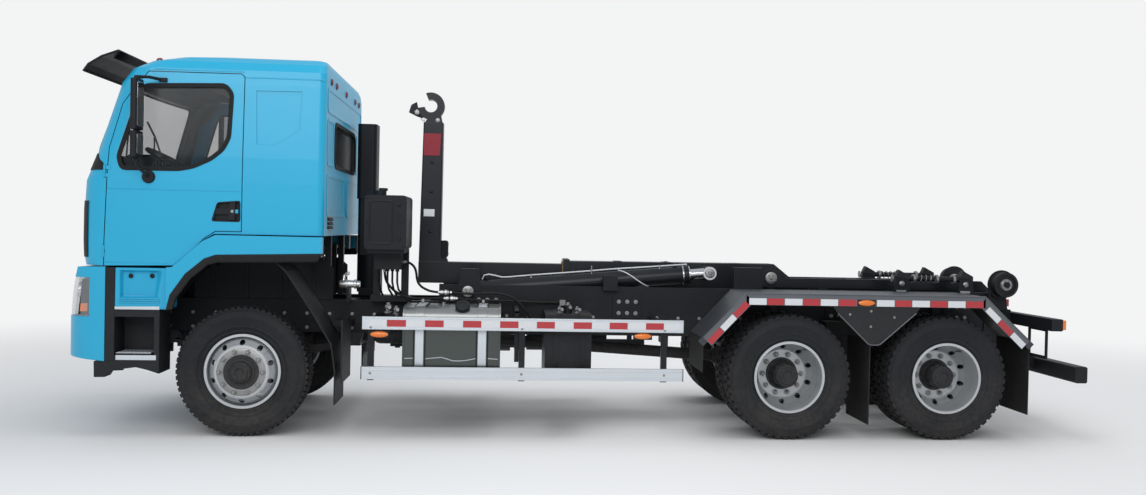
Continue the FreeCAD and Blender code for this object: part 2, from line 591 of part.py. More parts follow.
def knuckle():
    """The right knuckle: kingpin, two ears around the axle eye, brake plate and spindle."""
    top = TYRE_R + AXLE_EYE_HALF + 2
    bottom = TYRE_R - AXLE_EYE_HALF - 2
    ear_height = 56.0
    yoke_y = KINGPIN_Y + AXLE_EYE_R + KNUCKLE_GAP
    pieces = [
        cylinder_z(0, KINGPIN_Y, KINGPIN_R, bottom - ear_height - 10, top + ear_height + 10),
        cylinder_z(0, KINGPIN_Y, AXLE_EYE_R, top, top + ear_height),
        cylinder_z(0, KINGPIN_Y, AXLE_EYE_R, bottom - ear_height, bottom),
        box(-36, 36, KINGPIN_Y, yoke_y + 20, top, top + ear_height),
        box(-36, 36, KINGPIN_Y, yoke_y + 20, bottom - ear_height, bottom),
        box(-50, 50, yoke_y, yoke_y + 20, bottom - ear_height, top + ear_height),
        cylinder_y(0, TYRE_R, SPINDLE_R + 20, yoke_y + 10, KINGPIN_Y + 80),
        cylinder_y(0, TYRE_R, SPINDLE_R, yoke_y + 10, FRONT_TRACK_HALF + DISC_OFFSET + 10)]
    arm = box(20, 210, KINGPIN_Y - 30, KINGPIN_Y + 20, bottom - ear_height, bottom - ear_height + 36)
    return fuse(pieces + [arm])


# Rear axles with the shafts that drive them
DIFF_R = 205.0
AXLE_TUBE_R = 72.0
SHAFT_R = 52.0
GEARBOX_REAR = 1010.0
GEARBOX_Z = 750.0


def rear_axles():
    middle = TWIN_OUTER_Y - TWIN_PITCH / 2
    tube_end = middle - 225
    pieces = []
    for x in (WHEELBASE, WHEELBASE + TANDEM_SPACING):
        pieces.append(cylinder_y(x, TYRE_R, AXLE_TUBE_R, -tube_end, tube_end))
        pieces += both(cylinder_y(x, TYRE_R, SPINDLE_R, tube_end - 5, middle + 50))
        pieces.append(Part.makeSphere(DIFF_R, Vec(x, 0, TYRE_R)))
        pieces.append(Part.makeCone(150, 62, 260, Vec(x - DIFF_R + 40, 0, TYRE_R + 40), Vec(-1, 0, 0)))
    first = Vec(WHEELBASE - DIFF_R - 215, 0, TYRE_R + 40)
    pieces.append(cylinder_x(0, GEARBOX_Z, SHAFT_R + 16, GEARBOX_REAR, GEARBOX_REAR + 30))
    pieces.append(rod_between(Vec(GEARBOX_REAR + 20, 0, GEARBOX_Z), first, SHAFT_R))
    second = Vec(WHEELBASE + TANDEM_SPACING - DIFF_R - 215, 0, TYRE_R + 40)
    pieces.append(rod_between(Vec(WHEELBASE, 0, TYRE_R + 40), second, SHAFT_R))
    return fuse(pieces)


# Leaf springs: arched packs, front ones under the rails and rear ones across the two axles
FRONT_SPRING_Y = 355.0
SPRING_WIDTH = 80.0
REAR_SPRING_Y = 450.0
REAR_SPRING_WIDTH = 90.0


def leaf_pack(x0, x1, end_z, middle_z, thickness, y0, y1):
    """A leaf pack: thin at the ends, thick in the middle, between two arcs seen from the side."""
    middle = (x0 + x1) / 2
    top = Part.Arc(Vec(x0, y0, end_z + 22), Vec(middle, y0, middle_z + thickness), Vec(x1, y0, end_z + 22))
    low = Part.Arc(Vec(x1, y0, end_z), Vec(middle, y0, middle_z), Vec(x0, y0, end_z))
    edges = [top.toShape(), Part.makeLine(Vec(x1, y0, end_z + 22), Vec(x1, y0, end_z)), low.toShape(),
             Part.makeLine(Vec(x0, y0, end_z), Vec(x0, y0, end_z + 22))]
    return Part.Face(Part.Wire(edges)).extrude(Vec(0, y1 - y0, 0))


def leaf_springs():
    pieces = []
    y0 = FRONT_SPRING_Y
    y1 = FRONT_SPRING_Y + SPRING_WIDTH
    front = leaf_pack(-760, 800, 690, 560, 90, y0, y1)
    axle_seat = box(-70, 70, y0, y1, TYRE_R - FRONT_AXLE_DROP + 50, 570)
    hanger_front = prism_y([(-800, 670), (-720, 670), (-690, RAIL_BOTTOM), (-860, RAIL_BOTTOM)], y0, y1)
    hanger_rear = prism_y([(745, 670), (825, 670), (860, RAIL_BOTTOM), (715, RAIL_BOTTOM)], y0, y1)
    pieces += both(fuse([front, axle_seat, hanger_front, hanger_rear]))
    middle = WHEELBASE + TANDEM_SPACING / 2
    half = TANDEM_SPACING / 2 + 110
    y2 = REAR_SPRING_Y
    y3 = REAR_SPRING_Y + REAR_SPRING_WIDTH
    rear = leaf_pack(middle - half, middle + half, TYRE_R + 78, 640, 140, y2, y3)
    saddle = prism_y([(middle - 150, 560), (middle + 150, 560), (middle + 110, 700), (middle + 190, RAIL_TOP - 120),
                      (middle - 190, RAIL_TOP - 120), (middle - 110, 700)], RAIL_OUTER_Y, y3 + 30)
    pads = []
    for x in (WHEELBASE, WHEELBASE + TANDEM_SPACING):
        pads.append(box(x - 70, x + 70, y2, y3, TYRE_R + AXLE_TUBE_R - 30, TYRE_R + 90))
    axle_holes = [cylinder_y(x, TYRE_R, AXLE_TUBE_R + SEAT_GAP, y2 - 1, y3 + 1)
                  for x in (WHEELBASE, WHEELBASE + TANDEM_SPACING)]
    pieces += both(fuse([rear, saddle] + pads).cut(axle_holes))
    return group(pieces)


# Engine with gearbox as one plain block, and the radiator ahead of it
ENGINE_FRONT = -640.0
ENGINE_HALF_WIDTH = 330.0
RADIATOR_HALF_WIDTH = 345.0


def engine_block():
    engine = box(ENGINE_FRONT, 420, -ENGINE_HALF_WIDTH, ENGINE_HALF_WIDTH, 600, 1255)
    gearbox = box(410, GEARBOX_REAR - 200, -240, 240, 640, CROSS_MEMBER_TOP - CROSS_MEMBER_HEIGHT)
    tail = cylinder_x(0, GEARBOX_Z, 95, GEARBOX_REAR - 210, GEARBOX_REAR)
    radiator = box(-980, -880, -RADIATOR_HALF_WIDTH, RADIATOR_HALF_WIDTH, RAIL_BOTTOM - 20, 1310)
    duct = box(-890, ENGINE_FRONT + 10, -200, 200, 820, 1220)
    feet = both(box(-260, -140, ENGINE_HALF_WIDTH, RAIL_OUTER_Y - RAIL_WEB, 850, 940))
    return fuse([engine, gearbox, tail, radiator, duct] + feet)


# Front bumper: an outline from the side, rounded at its corners from above, open at the back
BUMPER_HALF_WIDTH = 1205.0
BUMPER_CORNER_R = 260.0
BUMPER_REAR = -1032.0
BUMPER_WALL = 30.0
LAMP_BOTTOM = 949.0
LAMP_TOP = 1253.0
LAMP_INNER_Y = 840.0
LAMP_REAR = -1150.0


def front_block(points, half_width, corner_r, rear):
    """A side outline across the truck, with the front corners rounded as seen from above."""
    front = min(x for x, z in points)
    low = min(z for x, z in points) - 1
    high = max(z for x, z in points) + 1
    solid = prism_y(points, -half_width, half_width)
    turn = corner_r * (1 - math.sqrt(0.5))
    wire = [
        Part.makeLine(Vec(rear, -half_width, low), Vec(front + corner_r, -half_width, low)),
        Part.Arc(Vec(front + corner_r, -half_width, low), Vec(front + turn, -half_width + turn, low),
                 Vec(front, -half_width + corner_r, low)).toShape(),
        Part.makeLine(Vec(front, -half_width + corner_r, low), Vec(front, half_width - corner_r, low)),
        Part.Arc(Vec(front, half_width - corner_r, low), Vec(front + turn, half_width - turn, low),
                 Vec(front + corner_r, half_width, low)).toShape(),
        Part.makeLine(Vec(front + corner_r, half_width, low), Vec(rear, half_width, low)),
        Part.makeLine(Vec(rear, half_width, low), Vec(rear, -half_width, low))]
    plan = Part.Face(Part.Wire(wire)).extrude(Vec(0, 0, high - low))
    return solid.common(plan)


def bumper_block(inset):
    front = -FRONT_OVERHANG + inset
    points = [
        (BUMPER_REAR + inset * 2, 602 + inset), (front + 22, 633 + inset), (front + 3, 756), (front, 800),
        (front + 11, 879), (front + 60, 1180), (front + 106, 1334 - inset * 0.4),
        (BUMPER_REAR + inset * 2, 1340 - inset * 0.4)]
    return front_block(points, BUMPER_HALF_WIDTH - inset, BUMPER_CORNER_R - inset, BUMPER_REAR + inset * 2)


def lamp_region(grow):
    side = box(-FRONT_OVERHANG - 10, LAMP_REAR + grow, LAMP_INNER_Y - grow, BUMPER_HALF_WIDTH + 10,
               LAMP_BOTTOM - grow, LAMP_TOP + grow)
    return both(side)


def front_bumper():
    shell = bumper_block(0).cut(bumper_block(BUMPER_WALL))
    opening = prism_x([(-700, 760), (700, 760), (640, 1010), (-640, 1010)], -FRONT_OVERHANG - 20, -1190)
    slats = []
    for z in (810, 870, 930):
        slats.append(box(-FRONT_OVERHANG + 34, -FRONT_OVERHANG + 60, -720, 720, z, z + 16))
    arm_slots = both(box(-1219, BUMPER_REAR + 1, TILT_ARM_INNER - 7, TILT_ARM_INNER + TILT_ARM_WIDTH + 7,
                         1295, 1345))
    body = fuse([shell.cut([opening] + arm_slots + lamp_region(SEAT_GAP))] + slats)
    carriers = both(box(-FRONT_OVERHANG + 20, RAIL_FRONT - FRONT_BEAM_DEPTH, 640, 690, 790, 960))
    return fuse([body] + carriers)


def headlamps():
    lens = bumper_block(4).cut(bumper_block(BUMPER_WALL - 2))
    return lens.common(group(lamp_region(0)))


# Entry steps: blue box with two treads above, black step with a tread plate below
STEP_FRONT = -1025.0
STEP_REAR = -620.0
STEP_OUTER_Y = 1205.0
STEP_INNER_Y = 900.0
STEP_SPLIT_Z = 1010.0
STEP_TOP = 1334.0
STEP_BOTTOM = 506.0
STEP_SKIN_REAR = -572.0


def step_boxes():
    outer = box(STEP_FRONT + 10, STEP_REAR, STEP_INNER_Y, STEP_OUTER_Y, STEP_SPLIT_Z, STEP_TOP)
    recess = box(STEP_FRONT + 70, STEP_REAR - 40, STEP_INNER_Y + 40, STEP_OUTER_Y + 1, STEP_SPLIT_Z + 90,
                 STEP_TOP - 120)
    skin = box(STEP_REAR - 20, STEP_SKIN_REAR, STEP_OUTER_Y - 35, STEP_OUTER_Y, STEP_SPLIT_Z, STEP_TOP)
    hollow = box(STEP_FRONT + 30, STEP_REAR - 20, STEP_INNER_Y - 1, STEP_INNER_Y + 20, STEP_SPLIT_Z + 30,
                 STEP_TOP - 30)
    body = fuse([outer, skin]).cut([recess, hollow])
    return group(both(body))


def entry_steps():
    outline = [(STEP_FRONT, STEP_SPLIT_Z), (STEP_FRONT, STEP_BOTTOM), (STEP_FRONT + 90, STEP_BOTTOM + 30),
               (STEP_FRONT + 230, STEP_BOTTOM + 50), (STEP_REAR - 90, STEP_BOTTOM + 30),
               (STEP_REAR, STEP_BOTTOM), (STEP_REAR, STEP_SPLIT_Z)]
    body = prism_y(outline, STEP_INNER_Y, STEP_OUTER_Y - 4)
    recess = box(STEP_FRONT + 60, STEP_REAR - 40, STEP_INNER_Y + 60, STEP_OUTER_Y, 650, STEP_SPLIT_Z - 60)
    tread = box(STEP_FRONT + 78, STEP_REAR - 60, STEP_INNER_Y + 90, STEP_OUTER_Y - 10, 650, 664)
    return group(both(fuse([body.cut(recess), tread])))


# Side flares over the front wheels, fixed to the chassis, with their inner lining
FLARE_INNER_Y = 1172.0
FLARE_OUTER_Y = 1240.0
LINING_INNER_Y = 640.0
FLARE_UPPER = [(CAB_REAR, CAB_FLOOR_REAR - 10), (-200, CAB_FLOOR_REAR - 8), (-297, 1552), (-524, 1345)]
FLARE_LOWER = [(-564, 1012), (-536, 1127), (-423, 1293), (-281, 1415), (-194, 1447), (CAB_REAR, 1470)]


def lifted(points, dz):
    return [(x, z + dz) for x, z in points]


def wheel_arches():
    outline = FLARE_UPPER + [(STEP_SKIN_REAR + 4, STEP_TOP + 8), (STEP_SKIN_REAR + 4, 1012)] + FLARE_LOWER
    skin = prism_y(outline, FLARE_INNER_Y, FLARE_OUTER_Y)
    skin = skin.cut(prism_y(outline, FLARE_INNER_Y + 14, FLARE_OUTER_Y - 14).common(
        box(-420, CAB_REAR - 30, FLARE_INNER_Y + 14, FLARE_OUTER_Y - 14, 1490, 1575)))
    return group(both(skin))


def lining_strip(points, thickness, y0, y1):
    """A bent sheet: the path points are its underside, seen from the side."""
    top = []
    for index, point in enumerate(points):
        before = points[max(index - 1, 0)]
        after = points[min(index + 1, len(points) - 1)]
        run = math.hypot(after[0] - before[0], after[1] - before[1])
        normal = (-(after[1] - before[1]) / run, (after[0] - before[0]) / run)
        top.append((point[0] + normal[0] * thickness, point[1] + normal[1] * thickness))
    return prism_y(points + top[::-1], y0, y1)


def front_mudguards():
    lip = lining_strip(FLARE_LOWER, -16, FLARE_INNER_Y, FLARE_OUTER_Y + 4)
    arch = [(-430, 1300), (-281, 1425), (-120, 1462), (240, 1400), (328, 1319), (560, 960), (687, 744), (720, 520)]
    sheet = lining_strip(arch, 12, LINING_INNER_Y, FLARE_INNER_Y)
    flap = box(716, 728, LINING_INNER_Y + 20, FLARE_INNER_Y - 20, 260, 560)
    panel = box(773, 785, RAIL_OUTER_Y + 250, 1190, 438, 942)
    stay = box(640, 780, RAIL_OUTER_Y, RAIL_OUTER_Y + 300, 850, 900)
    post = box(455, 505, RAIL_OUTER_Y - 70, RAIL_OUTER_Y - 20, RAIL_TOP, 1520)
    tube = cylinder_y(480, 1500, 20, RAIL_OUTER_Y - 45, FLARE_INNER_Y)
    return group(both(fuse([sheet, flap, panel, stay])) + both(lip) + both(fuse([post, tube])))


# Tanks on the chassis sides
FUEL_X0 = 1253.0
FUEL_X1 = 2037.0
TANK_INNER_Y = 520.0
TANK_OUTER_Y = 1165.0
FUEL_BOTTOM = 470.0
FUEL_TOP = 1050.0
STRAP_XS = [1388.0, 1889.0]
STRAP_WIDTH = 80.0
RESERVOIR_X0 = 2400.0
RESERVOIR_X1 = 2782.0
BATTERY_X0 = 1060.0
BATTERY_X1 = 1640.0
SILENCER_X0 = 1700.0
SILENCER_X1 = 2140.0
SILENCER_R = 270.0
SILENCER_Z = 760.0
AIR_TANK_X0 = SILENCER_X1 + 160
AIR_TANK_X1 = AIR_TANK_X0 + (WHEELBASE - 1055 - AIR_TANK_X0) * 780 / 1070
AIR_TANK_Y = 760.0
LOWER_AIR_TANK_Z = 640.0
UPPER_AIR_TANK_Z = 920.0


def rounded_tank(x0, x1, y0, y1, z0, z1, radius):
    return rounded(box(x0, x1, y0, y1, z0, z1), radius, "x")


def hanging_arms(xs, top):
    """Arms from the rail's outer face to a tank's inner face."""
    return [box(x - 40, x + 40, RAIL_OUTER_Y, TANK_INNER_Y, top - 220, top - 20) for x in xs]


def fuel_tank():
    tank = rounded_tank(FUEL_X0, FUEL_X1, TANK_INNER_Y, TANK_OUTER_Y, FUEL_BOTTOM, FUEL_TOP, 90)
    rims = [rounded_tank(x, x + 16, TANK_INNER_Y - 8, TANK_OUTER_Y + 8, FUEL_BOTTOM - 8, FUEL_TOP + 8, 98)
            for x in (FUEL_X0, FUEL_X1 - 16)]
    straps = [rounded_tank(x - STRAP_WIDTH / 2, x + STRAP_WIDTH / 2, TANK_INNER_Y - 6, TANK_OUTER_Y + 6,
                           FUEL_BOTTOM - 6, FUEL_TOP + 6, 96) for x in STRAP_XS]
    cap = cylinder_z(1727, TANK_OUTER_Y - 130, 48, FUEL_TOP - 10, FUEL_TOP + 36)
    solid = fuse([tank, cap] + rims + straps + hanging_arms(STRAP_XS, RAIL_TOP))
    return mirrored(solid)


def side_tanks():
    """Left: a reservoir with its valve. Right: battery box, silencer and two air tanks."""
    reservoir = rounded_tank(RESERVOIR_X0, RESERVOIR_X1, TANK_INNER_Y, TANK_OUTER_Y - 45, 480, 1010, 60)
    valve = cylinder_z((RESERVOIR_X0 + RESERVOIR_X1) / 2, TANK_OUTER_Y - 200, 36, 1000, 1075)
    arms = hanging_arms([RESERVOIR_X0 + 90, RESERVOIR_X1 - 90], 1000)
    left = mirrored(fuse([reservoir, valve] + arms))
    battery = fuse([box(BATTERY_X0, BATTERY_X1, TANK_INNER_Y, TANK_OUTER_Y - 25, 560, 990),
                    box(BATTERY_X0 - 10, BATTERY_X1 + 10, TANK_INNER_Y, TANK_OUTER_Y - 15, 940, 1000)]
                   + hanging_arms([BATTERY_X0 + 100, BATTERY_X1 - 100], 990))
    silencer_y = (TANK_INNER_Y + TANK_OUTER_Y) / 2
    silencer = fuse([cylinder_x(silencer_y, SILENCER_Z, SILENCER_R, SILENCER_X0, SILENCER_X1)]
                    + [box(x - 30, x + 30, RAIL_OUTER_Y, TANK_INNER_Y + 90, SILENCER_Z + 60, SILENCER_Z + 180)
                       for x in (SILENCER_X0 + 100, SILENCER_X1 - 90)])
    holder_xs = (AIR_TANK_X0 + 140, AIR_TANK_X1 - 140)
    air = fuse([cylinder_x(AIR_TANK_Y, LOWER_AIR_TANK_Z, 130, AIR_TANK_X0, AIR_TANK_X1),
                cylinder_x(AIR_TANK_Y, UPPER_AIR_TANK_Z, 110, AIR_TANK_X0, AIR_TANK_X1)]
               + [box(x - 25, x + 25, RAIL_OUTER_Y, AIR_TANK_Y + 30, 780, 860) for x in holder_xs]
               + [box(x - 25, x + 25, AIR_TANK_Y - 20, AIR_TANK_Y + 20, 700, 860) for x in holder_xs])
    return group([left, battery, silencer, air])


# Air intake: the tall duct behind the cab and the filter below it; hydraulic tank ahead of the mast
INTAKE_Y = 520.0
INTAKE_HALF_WIDTH = 120.0
INTAKE_X0 = 690.0
INTAKE_X1 = 842.0
INTAKE_TOP = 2640.0
FILTER_R = 118.0
FILTER_TOP = 1430.0
HYDRAULIC_X0 = 926.0
HYDRAULIC_X1 = 1262.0


def air_intake():
    """Stands at the right behind the cab: a flat duct on the air filter, whose foot lies on the rail."""
    y0 = INTAKE_Y - INTAKE_HALF_WIDTH
    y1 = INTAKE_Y + INTAKE_HALF_WIDTH
    duct = rounded(box(INTAKE_X0, INTAKE_X1, y0, y1, FILTER_TOP - 10, INTAKE_TOP), 30, "z")
    head = rounded(box(INTAKE_X0 - 12, INTAKE_X1 + 14, y0 - 20, y1 + 20, FILTER_TOP + 520, INTAKE_TOP + 10), 40, "z")
    filter_can = cylinder_z((INTAKE_X0 + INTAKE_X1) / 2 + 30, INTAKE_Y, FILTER_R, RAIL_TOP + 20, FILTER_TOP)
    foot = box(INTAKE_X0 + 20, INTAKE_X1 + 60, RAIL_OUTER_Y - 60, INTAKE_Y, RAIL_TOP, RAIL_TOP + 55)
    return fuse([duct, head, filter_can, foot])


def hydraulic_tank():
    outer = 1080.0
    tank = rounded(box(HYDRAULIC_X0, HYDRAULIC_X1, 480, outer, 1511, 1951), 30, "y")
    cap = cylinder_z(HYDRAULIC_X0 + 110, outer - 130, 50, 1940, 1990)
    legs = [box(x, x + 60, 480, 540, RAIL_TOP + 45, 1520) for x in (HYDRAULIC_X0 + 20, HYDRAULIC_X1 - 80)]
    foot = box(HYDRAULIC_X0, HYDRAULIC_X1, RAIL_OUTER_Y - 60, 560, RAIL_TOP, RAIL_TOP + 50)
    brace = box(HYDRAULIC_X0 + 20, HYDRAULIC_X1 - 20, 490, outer - 60, 1480, 1515)
    pump = box(HYDRAULIC_X0 + 60, HYDRAULIC_X1 - 60, 560, 820, 1340, 1485)
    return mirrored(fuse([tank, cap, foot, brace, pump] + legs))


# Side guards: two rails each side on posts, with arms from the chassis rails
GUARD_X0 = 941.0
GUARD_X1 = WHEELBASE - 899
GUARD_OUTER_Y = 1240.0
GUARD_THICKNESS = 28.0
GUARD_POST_XS = [GUARD_X0 + 69, SILENCER_X1 + 70, GUARD_X1 - 156]
GUARD_POST = 34.0
GUARD_POST_HALF = 25.0
GUARD_UPPER_BOTTOM = 878.0
GUARD_UPPER_TOP = 980.0
GUARD_LOWER_BOTTOM = 481.0
GUARD_LOWER_TOP = 580.0
GUARD_ARM_BOTTOM = 900.0
GUARD_ARM_TOP = 950.0


def side_guards():
    inner = GUARD_OUTER_Y - GUARD_THICKNESS
    post_inner = inner - GUARD_POST
    pieces = [box(GUARD_X0, GUARD_X1, inner, GUARD_OUTER_Y, GUARD_UPPER_BOTTOM, GUARD_UPPER_TOP),
              box(GUARD_X0, GUARD_X1, inner, GUARD_OUTER_Y, GUARD_LOWER_BOTTOM, GUARD_LOWER_TOP)]
    for x in GUARD_POST_XS:
        x0 = x - GUARD_POST_HALF
        x1 = x + GUARD_POST_HALF
        pieces.append(box(x0, x1, post_inner, inner, GUARD_LOWER_BOTTOM - 11, GUARD_UPPER_TOP - 10))
        pieces.append(box(x0, x1, RAIL_OUTER_Y, post_inner + 5, GUARD_ARM_BOTTOM, GUARD_ARM_TOP))
    return group(both(fuse(pieces)))


# Rear mudguards: a sheet over both axles, a strip along its outer edge, a web between the wheels
MUDGUARD_TOP = 1206.0
MUDGUARD_INNER_Y = 636.0
MUDGUARD_OUTER_Y = 1250.0
MUDGUARD_PATH = [(WHEELBASE - 735, 836.0), (WHEELBASE - 385, MUDGUARD_TOP), (LAST_AXLE_X + 310, MUDGUARD_TOP),
                 (LAST_AXLE_X + 700, 836.0)]
STRIP_HEIGHT = 62.0
MUDGUARD_STAY_XS = [WHEELBASE + 25, WHEELBASE + TANDEM_SPACING / 2, LAST_AXLE_X + 185]
BETWEEN_AXLES_X = WHEELBASE + TANDEM_SPACING / 2


def rear_mudguards():
    sheet = lining_strip(MUDGUARD_PATH, 8, MUDGUARD_INNER_Y, MUDGUARD_OUTER_Y)
    strip = lining_strip(lifted(MUDGUARD_PATH, -STRIP_HEIGHT), STRIP_HEIGHT, MUDGUARD_OUTER_Y - 8,
                         MUDGUARD_OUTER_Y)
    x = BETWEEN_AXLES_X
    web = prism_y([(x - 400, MUDGUARD_TOP), (x - 278, 1051), (x - 20, 800), (x + 80, 800), (x + 381, 1060),
                   (x + 500, MUDGUARD_TOP)], MUDGUARD_OUTER_Y - 18, MUDGUARD_OUTER_Y - 10)
    stays = [box(x - 30, x + 30, RAIL_OUTER_Y, MUDGUARD_OUTER_Y - 20, MUDGUARD_TOP - 46, MUDGUARD_TOP)
             for x in MUDGUARD_STAY_XS]
    posts = [box(x - 30, x + 30, RAIL_OUTER_Y, RAIL_OUTER_Y + 60, RAIL_TOP - 120, MUDGUARD_TOP)
             for x in MUDGUARD_STAY_XS]
    return group(both(fuse([sheet, strip, web] + stays + posts)))


def rear_flaps(mudguards):
    middle = box(BETWEEN_AXLES_X - 4, BETWEEN_AXLES_X + 4, MUDGUARD_INNER_Y + 10, MUDGUARD_OUTER_Y - 18, 130, 830)
    rear = box(LAST_AXLE_X + 699, LAST_AXLE_X + 707, MUDGUARD_INNER_Y, MUDGUARD_OUTER_Y - 4, 222, 836)
    front = box(WHEELBASE - 743, WHEELBASE - 735, MUDGUARD_INNER_Y, MUDGUARD_OUTER_Y - 4, 560, 836)
    return group(both(middle) + both(rear) + both(front)).cut(mudguards)


# Rear end: lamp bar, blank plate's frame and underrun bar
LAMP_BAR_X = LAST_AXLE_X + 1015
BAR_HALF_WIDTH = 1200.0
UNDERRUN_BOTTOM = 483.0
UNDERRUN_TOP = 624.0


def rear_bars():
    lamp_bar = box(RAIL_REAR, LAMP_BAR_X, -BAR_HALF_WIDTH, BAR_HALF_WIDTH, 927, 1030)
    underrun = rounded(box(REAR_END - 110, REAR_END, -BAR_HALF_WIDTH + 20, BAR_HALF_WIDTH - 20,
                           UNDERRUN_BOTTOM, UNDERRUN_TOP), 18, "y")
    arms = both(prism_y([(RAIL_REAR - 260, RAIL_BOTTOM + 160), (RAIL_REAR - 40, RAIL_BOTTOM + 160),
                         (REAR_END - 100, UNDERRUN_TOP - 10), (REAR_END - 100, UNDERRUN_BOTTOM + 20),
                         (RAIL_REAR - 260, RAIL_BOTTOM - 60)], RAIL_OUTER_Y, RAIL_OUTER_Y + 16))
    frame = box(LAMP_BAR_X - 30, LAMP_BAR_X - 14, -990, -655, 665, 927)
    frame = frame.cut(box(LAMP_BAR_X - 40, LAMP_BAR_X, -965, -680, 690, 905))
    return fuse([lamp_bar, underrun, frame] + arms)


def tail_lamps():
    rear = both(box(LAMP_BAR_X, LAMP_BAR_X + 40, 780, BAR_HALF_WIDTH - 10, 940, 1018))
    upper = both(box(SUBFRAME_REAR, SUBFRAME_REAR + 40, SUBFRAME_OUTER_Y - 62, SUBFRAME_OUTER_Y, 1085, 1150))
    return group(rear + upper)


# Cab shell: outlines seen from above at several heights, joined upwards.
# Each row is height, front at the middle, half width, corner radius, rear.
CAB_SECTIONS = [
    (1300.0, -1270.0, CAB_HALF_WIDTH, 210.0, CAB_REAR),
    (1403.0, -1290.0, CAB_HALF_WIDTH, 210.0, CAB_REAR),
    (1537.0, CAB_NOSE, CAB_HALF_WIDTH, 210.0, CAB_REAR),
    (1789.0, -1295.0, CAB_HALF_WIDTH, 210.0, CAB_REAR),
    (2010.0, -1284.0, CAB_HALF_WIDTH, 210.0, CAB_REAR),
    (2213.0, -1205.0, CAB_HALF_WIDTH - 5, 205.0, CAB_REAR),
    (2790.0, -1030.0, CAB_HALF_WIDTH - 38, 190.0, CAB_REAR),
    (2905.0, -950.0, CAB_HALF_WIDTH - 52, 190.0, CAB_REAR),
    (2968.0, -820.0, CAB_HALF_WIDTH - 84, 190.0, CAB_REAR - 6),
    (3008.0, -640.0, CAB_HALF_WIDTH - 150, 190.0, CAB_REAR - 20),
    (CAB_TOP, -430.0, CAB_HALF_WIDTH - 260, 190.0, CAB_REAR - 60)]
FRONT_BULGE = 46.0
REAR_CORNER_R = 60.0


def cab_wire(z, front, half_width, corner_r, rear, inset):
    """The cab's outline from above at one height, moved in by the inset."""
    x0 = front + inset
    w = half_width - inset
    r = corner_r
    x1 = x0 + FRONT_BULGE
    back = rear - inset
    q = REAR_CORNER_R
    turn = 1 - math.sqrt(0.5)
    quarter = math.sqrt(0.5)
    start = [
        Part.makeLine(Vec(back - q, -w, z), Vec(x1 + r, -w, z)),
        Part.Arc(Vec(x1 + r, -w, z), Vec(x1 + r * turn, -w + r * turn, z), Vec(x1, -w + r, z)).toShape(),
        Part.Arc(Vec(x1, -w + r, z), Vec(x0, 0, z), Vec(x1, w - r, z)).toShape(),
        Part.Arc(Vec(x1, w - r, z), Vec(x1 + r * turn, w - r * turn, z), Vec(x1 + r, w, z)).toShape(),
        Part.makeLine(Vec(x1 + r, w, z), Vec(back - q, w, z)),
        Part.Arc(Vec(back - q, w, z), Vec(back - q + q * quarter, w - q * turn, z),
                 Vec(back, w - q, z)).toShape(),
        Part.makeLine(Vec(back, w - q, z), Vec(back, -w + q, z)),
        Part.Arc(Vec(back, -w + q, z), Vec(back - q + q * quarter, -w + q * turn, z),
                 Vec(back - q, -w, z)).toShape()]
    return Part.Wire(start)


CAB_UNDER = [
    (-1500, CAB_FLOOR_FRONT), (DOOR_FRONT, CAB_FLOOR_FRONT - 2), (-519, CAB_FLOOR_FRONT + 7),
    (-291, 1564), (-215, CAB_FLOOR_REAR), (CAB_REAR + 50, CAB_FLOOR_REAR)]


def cab_solid(inset):
    """The closed cab body, moved in from its outer skin on every side by the inset."""
    wires = []
    for index, (z, front, half_width, corner_r, rear) in enumerate(CAB_SECTIONS):
        height = z - inset if index >= len(CAB_SECTIONS) - 4 else z
        wires.append(cab_wire(height, front, half_width, corner_r, rear, inset))
    body = Part.makeLoft(wires, True, True)
    under = lifted(CAB_UNDER, inset)
    low = prism_y(under + [(CAB_REAR + 50, 1000), (-1500, 1000)], -1500, 1500)
    return body.cut(low)


DOOR_OUTLINE = [
    (DOOR_FRONT, CAB_FLOOR_FRONT - 40), (DOOR_FRONT, 1545), (DOOR_FRONT + 23, 2269), (-934, 2616),
    (-740, 2876), (-30, 2878), (DOOR_REAR, 2850), (DOOR_REAR, 1628), (-204, 1628), (-291, 1569), (-519, 1300)]
DOOR_WINDOW = [
    (-917, 2112), (-941, 2199), (-788, 2719), (-753, 2756), (-155, 2777), (-105, 2714), (-119, 2371),
    (-163, 2277), (-251, 2201), (-385, 2137), (-492, 2115)]
HANDLE_POCKET = [(-234, 1712), (-193, 1856), (-21, 1872), (-19, 1710)]
QUARTER_PANEL = [(85, 2746), (437, 2749), (427, 2444), (252, 2326), (98, 2321)]


def grown(points, distance):
    """An outline moved outward by a distance, or inward where it is negative."""
    wire = side_face(points).OuterWire
    return wire.makeOffset2D(distance, 2) if distance else wire


def side_prism(points, distance, y0, y1):
    face = Part.Face(grown(points, distance))
    face.translate(Vec(0, y0, 0))
    return face.extrude(Vec(0, y1 - y0, 0))


WINDSCREEN = [(-1015, 2235), (1015, 2235), (955, 2782), (-955, 2782)]
REAR_WINDOW = [(-640, 2200), (640, 2200), (640, 2540), (-640, 2540)]
GLASS_DEPTH = 18.0


def windscreen_prism(grow):
    points = [(y + math.copysign(grow, y), z + (grow if z > 2500 else -grow)) for y, z in WINDSCREEN]
    return prism_x(points, -1500, -500)


def rear_window_prism(grow):
    points = [(y + math.copysign(grow, y), z + (grow if z > 2400 else -grow)) for y, z in REAR_WINDOW]
    return prism_x(points, 300, 900)


WALL_INNER_Y = CAB_HALF_WIDTH - CAB_WALL
SILL_TOP = 2000.0
SILL_GAP = 6.0
HINGE_ZS = [1460.0, 2080.0]
HINGE_R = 9.0
HINGE_HALF = 45.0
HINGE_MIDDLE = 15.0
HINGE_TAB = 8.0


